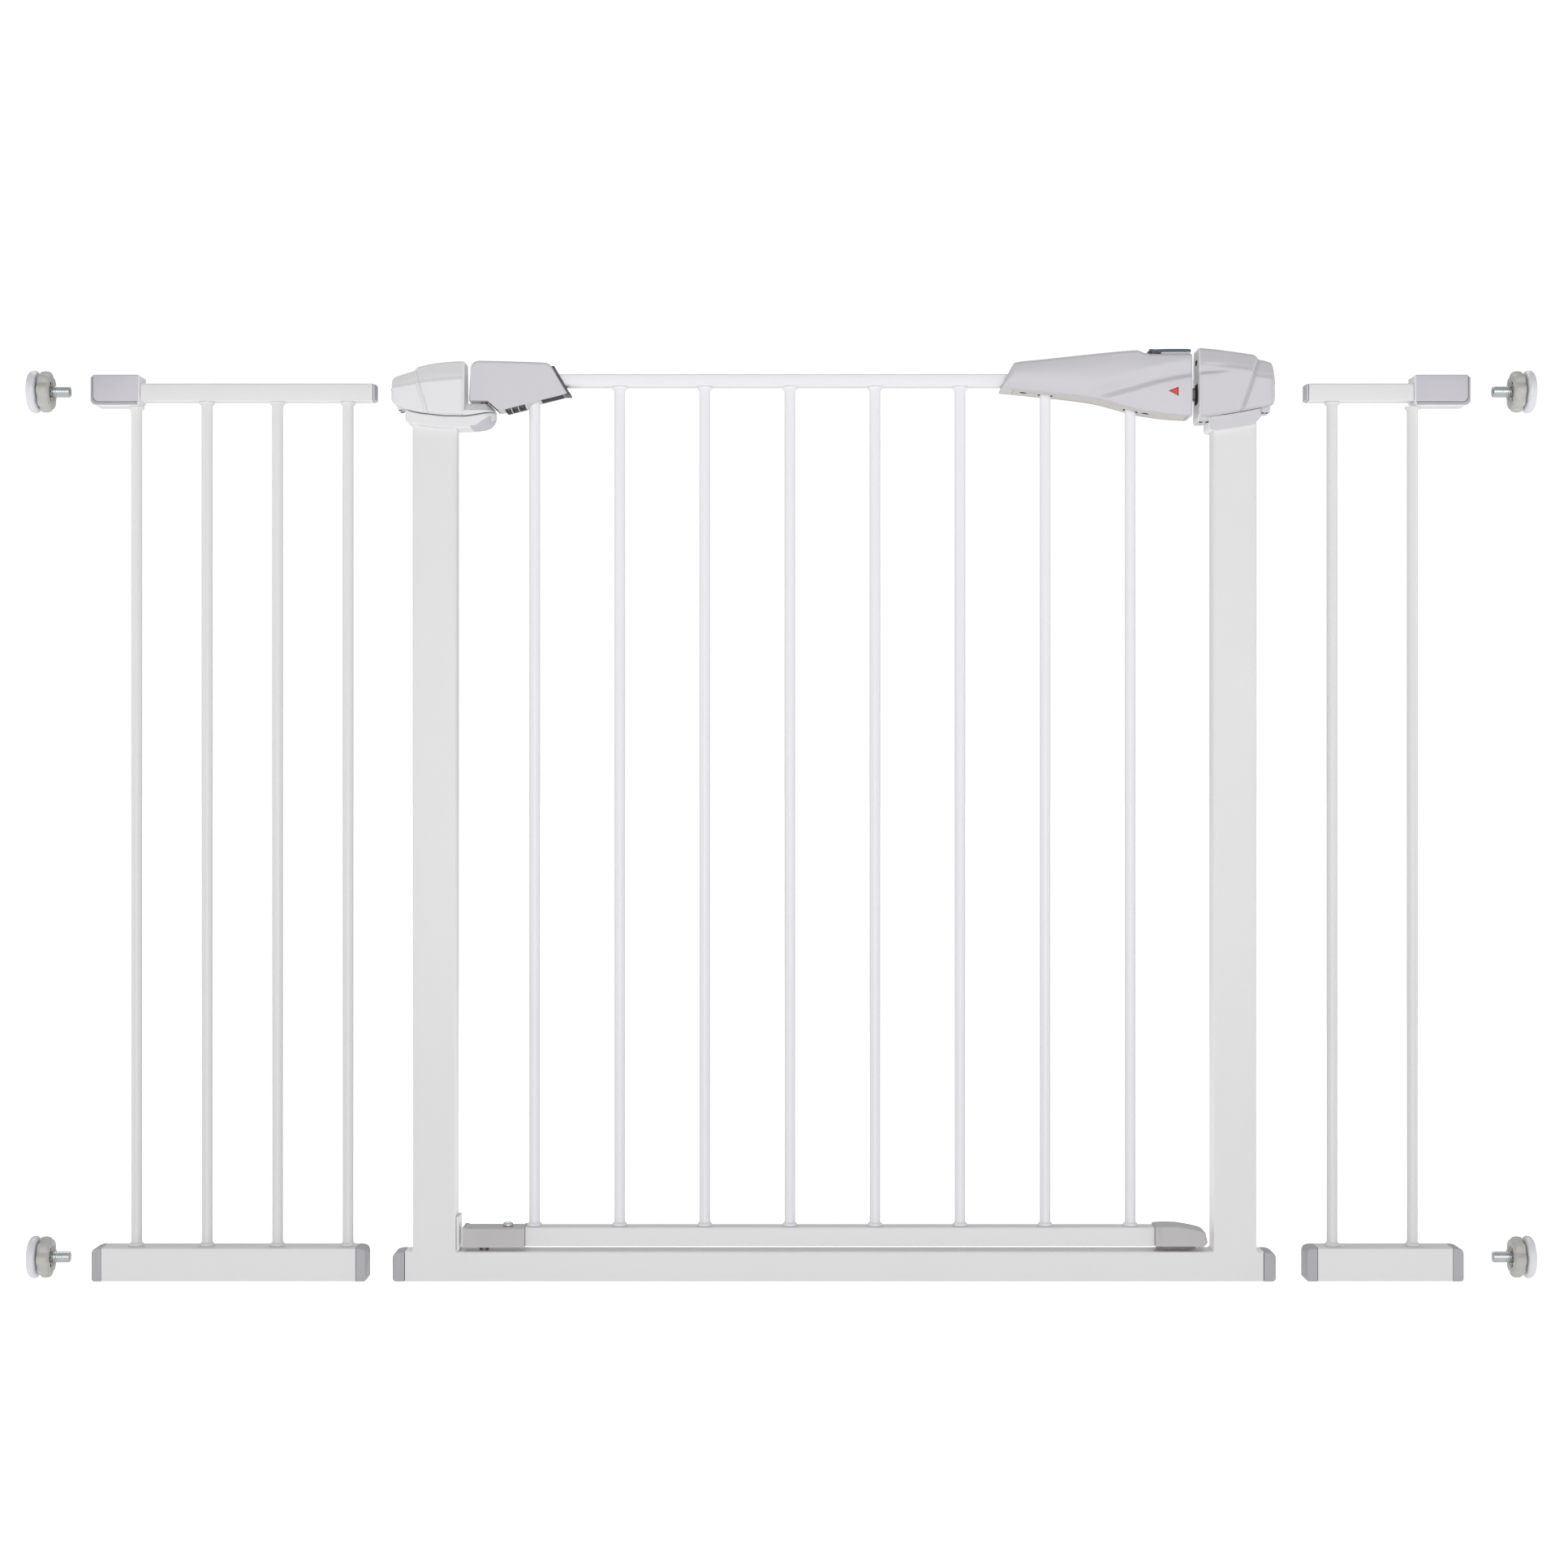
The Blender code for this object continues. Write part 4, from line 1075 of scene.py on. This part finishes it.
def build_spindle(side_name, side, level):
    """A wall pad, a lobed wheel and a threaded bolt."""
    label = f"{side_name}_{level}_spindle"
    low, high = span(f"{label}_wheel")
    centre = ((low[1] + high[1]) / 2, (low[2] + high[2]) / 2)
    inner, outer = ordered(low, high, side)
    depth = abs(outer - inner)

    def lobes(angle, radius):
        if radius < 12.0:
            return 0.0
        wave = math.cos(8 * angle)
        return (1.0 * wave - 0.35 * wave * wave) * min(1.0, (radius - 12.0) / 3.5)

    wheel = lathe(f"{label}_wheel_look", "X", centre, profile_from(inner, side, [
        (5.2, 1.6), (8.6, 1.6), (9.2, 0.4), (12.4, 0.0), (14.4, 0.4), (15.7, 1.4), (16.4, 3.0), (16.6, 4.6),
        (16.5, depth - 3.2), (16.0, depth - 1.6), (14.9, depth - 0.5), (13.2, depth), (5.2, depth)]),
        WHEEL, 96, closed=True, swell=lobes, sharp=38.0)
    rooms = []
    for number in range(4):
        angle = math.radians(90 * number)
        spot = (centre[0] + 7.0 * math.cos(angle), centre[1] + 7.0 * math.sin(angle))
        rooms.append(plug("hole", "X", spot, 1.4, *sorted((inner - side, inner + side * 5.0)), HOLE, 20))
    carve(wheel, *rooms)
    place(wheel, f"{side_name}_{level}_wheel", "wheel_grey", f"{label}_wheel")

    low, high = span(f"{label}_pad")
    near, far = ordered(low, high, side)
    thick = abs(far - near)

    pad = lathe(f"{label}_pad_look", "X", centre, profile_from(near, side, [
        (5.1, 0.0), (13.6, 0.0), (15.4, 0.3), (16.9, 1.1), (17.6, 2.4), (17.7, 3.4), (17.5, 4.8),
        (16.8, 6.1), (15.6, 7.1), (14.2, thick), (12.6, thick),
        (12.0, thick - 0.5), (9.6, thick - 0.5), (9.0, thick), (6.4, thick),
        (5.8, thick - 0.5), (0.6, thick - 0.5), (0.6, thick - 3.0), (5.1, thick - 3.0)]),
        PAD, 96, closed=True, sharp=40.0)
    place(pad, label, "pad_rubber", f"{label}_pad")

    low, high = span(f"{label}_bolt")
    tip, root = ordered(low, high, side)
    length = abs(root - tip)
    rings = []
    count, segments = int(length / 0.25), 40
    for number in range(count + 1):
        along = length * number / count
        chamfer = 0.5 * (1.0 - smooth(along, 0.0, 0.6))
        ring = []
        for index in range(segments):
            phase = (along / THREAD_PITCH + index / segments) % 1.0
            ridge = abs(phase - 0.5) * 2.0
            radius = BOLT_RADIUS - chamfer - THREAD_DEPTH * ridge
            angle = 2 * math.pi * index / segments
            ring.append((tip + side * along, centre[0] + radius * math.cos(angle),
                         centre[1] + radius * math.sin(angle)))
        rings.append(ring)
    bolt = add_mesh(f"{label}_bolt_look", rings, ZINC, 60.0)
    place(bolt, label, "zinc", f"{label}_bolt")


# ---- stage

def build_stage():
    """A pale floor, soft light and the camera."""
    ground = Finish("pale_floor", (0.86, 0.86, 0.86), 0.9, Specular_IOR_Level=0.1,
                    Emission_Color=(1.0, 1.0, 1.0, 1.0))
    seen = ground.nodes.new("ShaderNodeLightPath")
    glow = ground.nodes.new("ShaderNodeMapRange")
    set_inputs(glow, To_Min=FLOOR_BOUNCE, To_Max=FLOOR_GLOW)
    ground.links.new(seen.outputs["Is Camera Ray"], glow.inputs["Value"])
    ground.links.new(glow.outputs["Result"], ground.shader.inputs["Emission Strength"])
    size = FLOOR_HALF
    corners = [(-size, -size, 0), (size, -size, 0), (size, size, 0), (-size, size, 0)]
    mesh = bpy.data.meshes.new("floor")
    mesh.from_pydata(corners, [], [(0, 1, 2, 3)])
    mesh.materials.append(ground.material)
    floor = add_object("floor", mesh)
    floor.location.z = -FLOOR_DROP * MM

    world = bpy.data.worlds.new("studio")
    bpy.context.scene.world = world
    world.use_nodes = True
    nodes, links = world.node_tree.nodes, world.node_tree.links
    background = nodes["Background"]
    set_inputs(background, Color=(1.0, 1.0, 1.0, 1.0))
    path = nodes.new("ShaderNodeLightPath")
    mirrored = nodes.new("ShaderNodeMapRange")
    set_inputs(mirrored, To_Min=AMBIENT, To_Max=REFLECTED)
    links.new(path.outputs["Is Glossy Ray"], mirrored.inputs["Value"])
    level = nodes.new("ShaderNodeMapRange")
    set_inputs(level, To_Max=BACKDROP)
    links.new(mirrored.outputs["Result"], level.inputs["To Min"])
    links.new(path.outputs["Is Camera Ray"], level.inputs["Value"])
    links.new(level.outputs["Result"], background.inputs["Strength"])

    for name, location, aim_height, width, height, power in LIGHTS:
        data = bpy.data.lights.new(name, "AREA")
        data.shape = "RECTANGLE"
        data.size, data.size_y = width, height
        data.energy = power
        obj = add_object(name, data)
        obj.location = location
        aim = Vector((0, 0, aim_height)) - Vector(location)
        obj.rotation_euler = aim.to_track_quat("-Z", "Y").to_euler()

    camera_data = bpy.data.cameras.new("camera")
    camera_data.sensor_width = SENSOR_WIDTH
    camera_data.lens = SENSOR_WIDTH * CAMERA_DISTANCE / VIEW_WIDTH
    camera = add_object("camera", camera_data)
    camera.location = (0.0, -CAMERA_DISTANCE * MM, CAMERA_HEIGHT * MM)
    camera.rotation_euler = (math.radians(90), 0, 0)
    bpy.context.scene.camera = camera
    bpy.context.scene.view_settings.view_transform = "Standard"


def main():
    """Build every piece and the stage."""
    build_u_frame()
    end_cap("threshold_cap_left", "frame", -1)
    end_cap("threshold_cap_right", "frame", 1)
    build_hinge_cover()
    build_hinge_bracket()
    build_latch_cover()
    build_latch_bracket()
    for number in range(1, 9):
        round_bar(f"door_bar_{number}", "door")
    rail("door_top_rail", "door", 1.3, BAR)
    rail("door_bottom_rail", "door", 1.4, WHITE)
    build_door_hinge_cover()
    build_handle()
    build_latch()
    build_shoe()
    build_catch()
    for name, side, bars in (("left", -1, 4), ("right", 1, 2)):
        build_extension(name, side, bars)
        for level in ("upper", "lower"):
            build_spindle(name, side, level)
    build_stage()


main()
